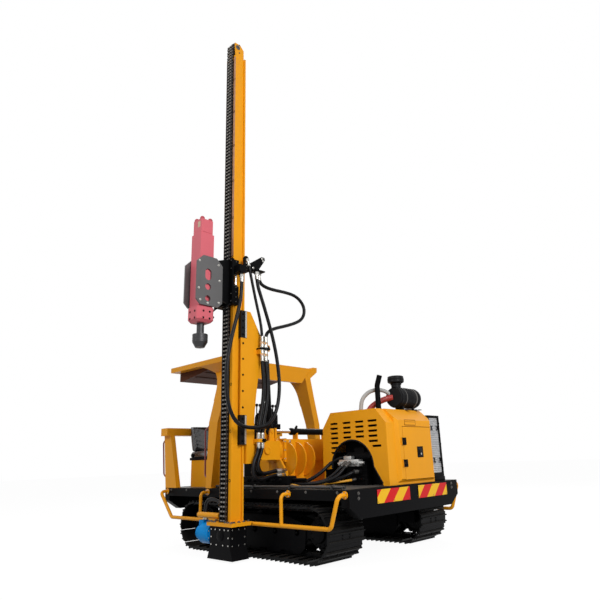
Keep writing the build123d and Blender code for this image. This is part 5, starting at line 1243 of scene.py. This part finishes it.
# The carriage: black clamps round the outer rails, joined by four bright rods, with steel bolts,
# a hose block, and two hooks of bent bar under the hammer's plates.
dress(black_paint, "carriage", "hose_arm", edge=0.003)
made = bmesh.new()
for side in SIDES:
    for z in (3.020, 3.080, 3.150, 3.210, 3.430, 3.490, 3.560):
        bolt(made, (side * 0.160, 1.440, z), (side, 0, 0), 0.015, False)
    for z in (3.010, 3.110, 3.450, 3.560):
        bolt(made, (side * 0.172, 1.520, z), LEFT, 0.014, False)
RODS = tuple(product((-0.142, 0.142), (1.425, 1.470)))
for x, y in RODS:
    for z, way in ((3.230, 1), (3.400, -1)):
        turned(made, (x, y, z), (0, 0, way), ((-0.002, 0.021), (0.014, 0.021), (0.017, 0.018)), 6)
settle("carriage_bolts", made, worn_steel, "carriage")
made = bmesh.new()
for x, y in RODS:
    turned(made, (x, y, 3.228), UP, ((0, 0.0136), (0.174, 0.0136)), 20)
settle("carriage_rods", made, chrome, "carriage")
made = bmesh.new()
for side in SIDES:
    line = smooth_line("hook", (
        (side * 0.150, 1.500, 2.990), (side * 0.150, 1.545, 2.955), (side * 0.150, 1.585, 2.915),
        (side * 0.150, 1.610, 2.880),
        (side * 0.150, 1.600, 2.840), (side * 0.150, 1.565, 2.835), (side * 0.150, 1.550, 2.865),
    ))
    skin_over(made, line, 0.011, 12)
settle("hose_hooks", made, black_paint, "carriage")
made = bmesh.new()
for y, z in ((1.345, 3.500), (1.345, 3.530)):
    bolt(made, (-0.175, y - 0.060, z), REAR, 0.016)
for y, z in ((1.100, 3.520), (1.160, 3.540), (1.220, 3.560), (1.000, 3.710), (0.985, 3.680)):
    bolt(made, (-0.175, y, z), REAR, 0.018)
settle("arm_bolts", made, zinc, "mast")

# The hammer: a square head with four tie rods and a blank plate, in pink-red enamel, between
# two thick grey plates that hold it by plated bolts, over a bevelled nose.
HAMMER_Y = 1.850
grey_paint = finish("grey_paint", (0.085, 0.083, 0.084), 0.42, mottle=0.15, peel=0.15)
dress(grey_paint, "hammer_plates", edge=0.003)
hammer_paint = finish("hammer_paint", (0.60, 0.105, 0.135), 0.45, mottle=0.08, peel=0.08)
dress(hammer_paint, "hammer_body", edge=0.004)
made = bmesh.new()
for x, y in product((-0.060, 0.060), (-0.060, 0.060)):
    turned(made, (x, HAMMER_Y + y, 4.060), UP, ((-0.002, 0.031), (0.022, 0.031), (0.027, 0.027)), 6)
    turned(made, (x, HAMMER_Y + y, 4.084), UP, ((0, 0.0205), (0.011, 0.0205), (0.0112, 0.015), (0.002, 0.013)), 20)
for x in (-0.0885, 0.0885):
    block(made, span(x, 0.0015), span(HAMMER_Y, 0.070), (3.880, 3.884), 0.0006, 1)
settle("tie_rod_nuts", made, finish("hammer_dark", (0.42, 0.050, 0.070), 0.45, mottle=0.15), "carriage")
made = bmesh.new()
for side in SIDES:
    for y, z in (
        (1.700, 3.455), (1.985, 3.455), (1.685, 2.960), (1.960, 2.955), (1.850, 2.930), (1.680, 3.250), (1.985, 3.100),
    ):
        turned(made, (side * 0.140, y, z), (side, 0, 0), ((-0.001, 0.0150), (0.003, 0.0150), (0.004, 0.0135)), 24)
        turned(made, (side * 0.140, y, z), (side, 0, 0), ((0.003, 0.0105), (0.011, 0.0105), (0.013, 0.0085)), 6)
settle("hammer_bolts", made, zinc, "carriage")
PLUG = ((-0.002, 0.014), (0.0008, 0.014), (0.001, 0.009), (0.0002, 0.006))
made = bmesh.new()
for z, side in product((2.745, 2.830), SIDES):
    turned(made, (side * 0.122, HAMMER_Y + 0.045, z), (side, 0, 0), PLUG, 20)
    turned(made, (side * 0.122, HAMMER_Y - 0.045, z), (side, 0, 0), PLUG, 20)
    turned(made, (side * 0.050, HAMMER_Y + 0.122, z), LEFT, PLUG, 20)
settle("nose_plugs", made, black_and_painted_shade, "carriage")
made = bmesh.new()
block(made, (-0.058, -0.006), (HAMMER_Y + 0.0868, HAMMER_Y + 0.0880), (3.950, 4.030), 0.0004, 1)
settle(
    "hammer_plate_blank", made, finish("cream_plate", (0.52, 0.40, 0.26), 0.35, mottle=0.08),
    "carriage",
)

# The drive cap: a turned and hardened steel cap on its shank, scaled from heat treatment, with
# three raised bands round it.
cap_steel = finish(
    "cap_steel", (0.045, 0.044, 0.046), 0.42, metal=0.7, mottle=0.35, mottle_size=22, peel=0.2, peel_size=120,
)
dress(cap_steel, "drive_cap", edge=0.003)
made = bmesh.new()
for z in (2.480, 2.510, 2.540):
    turned(made, (0, HAMMER_Y, z), UP, ((0, 0.0925), (0.001, 0.094), (0.006, 0.094), (0.007, 0.0925)), 56)
settle("cap_bands", made, cap_steel, "tool")
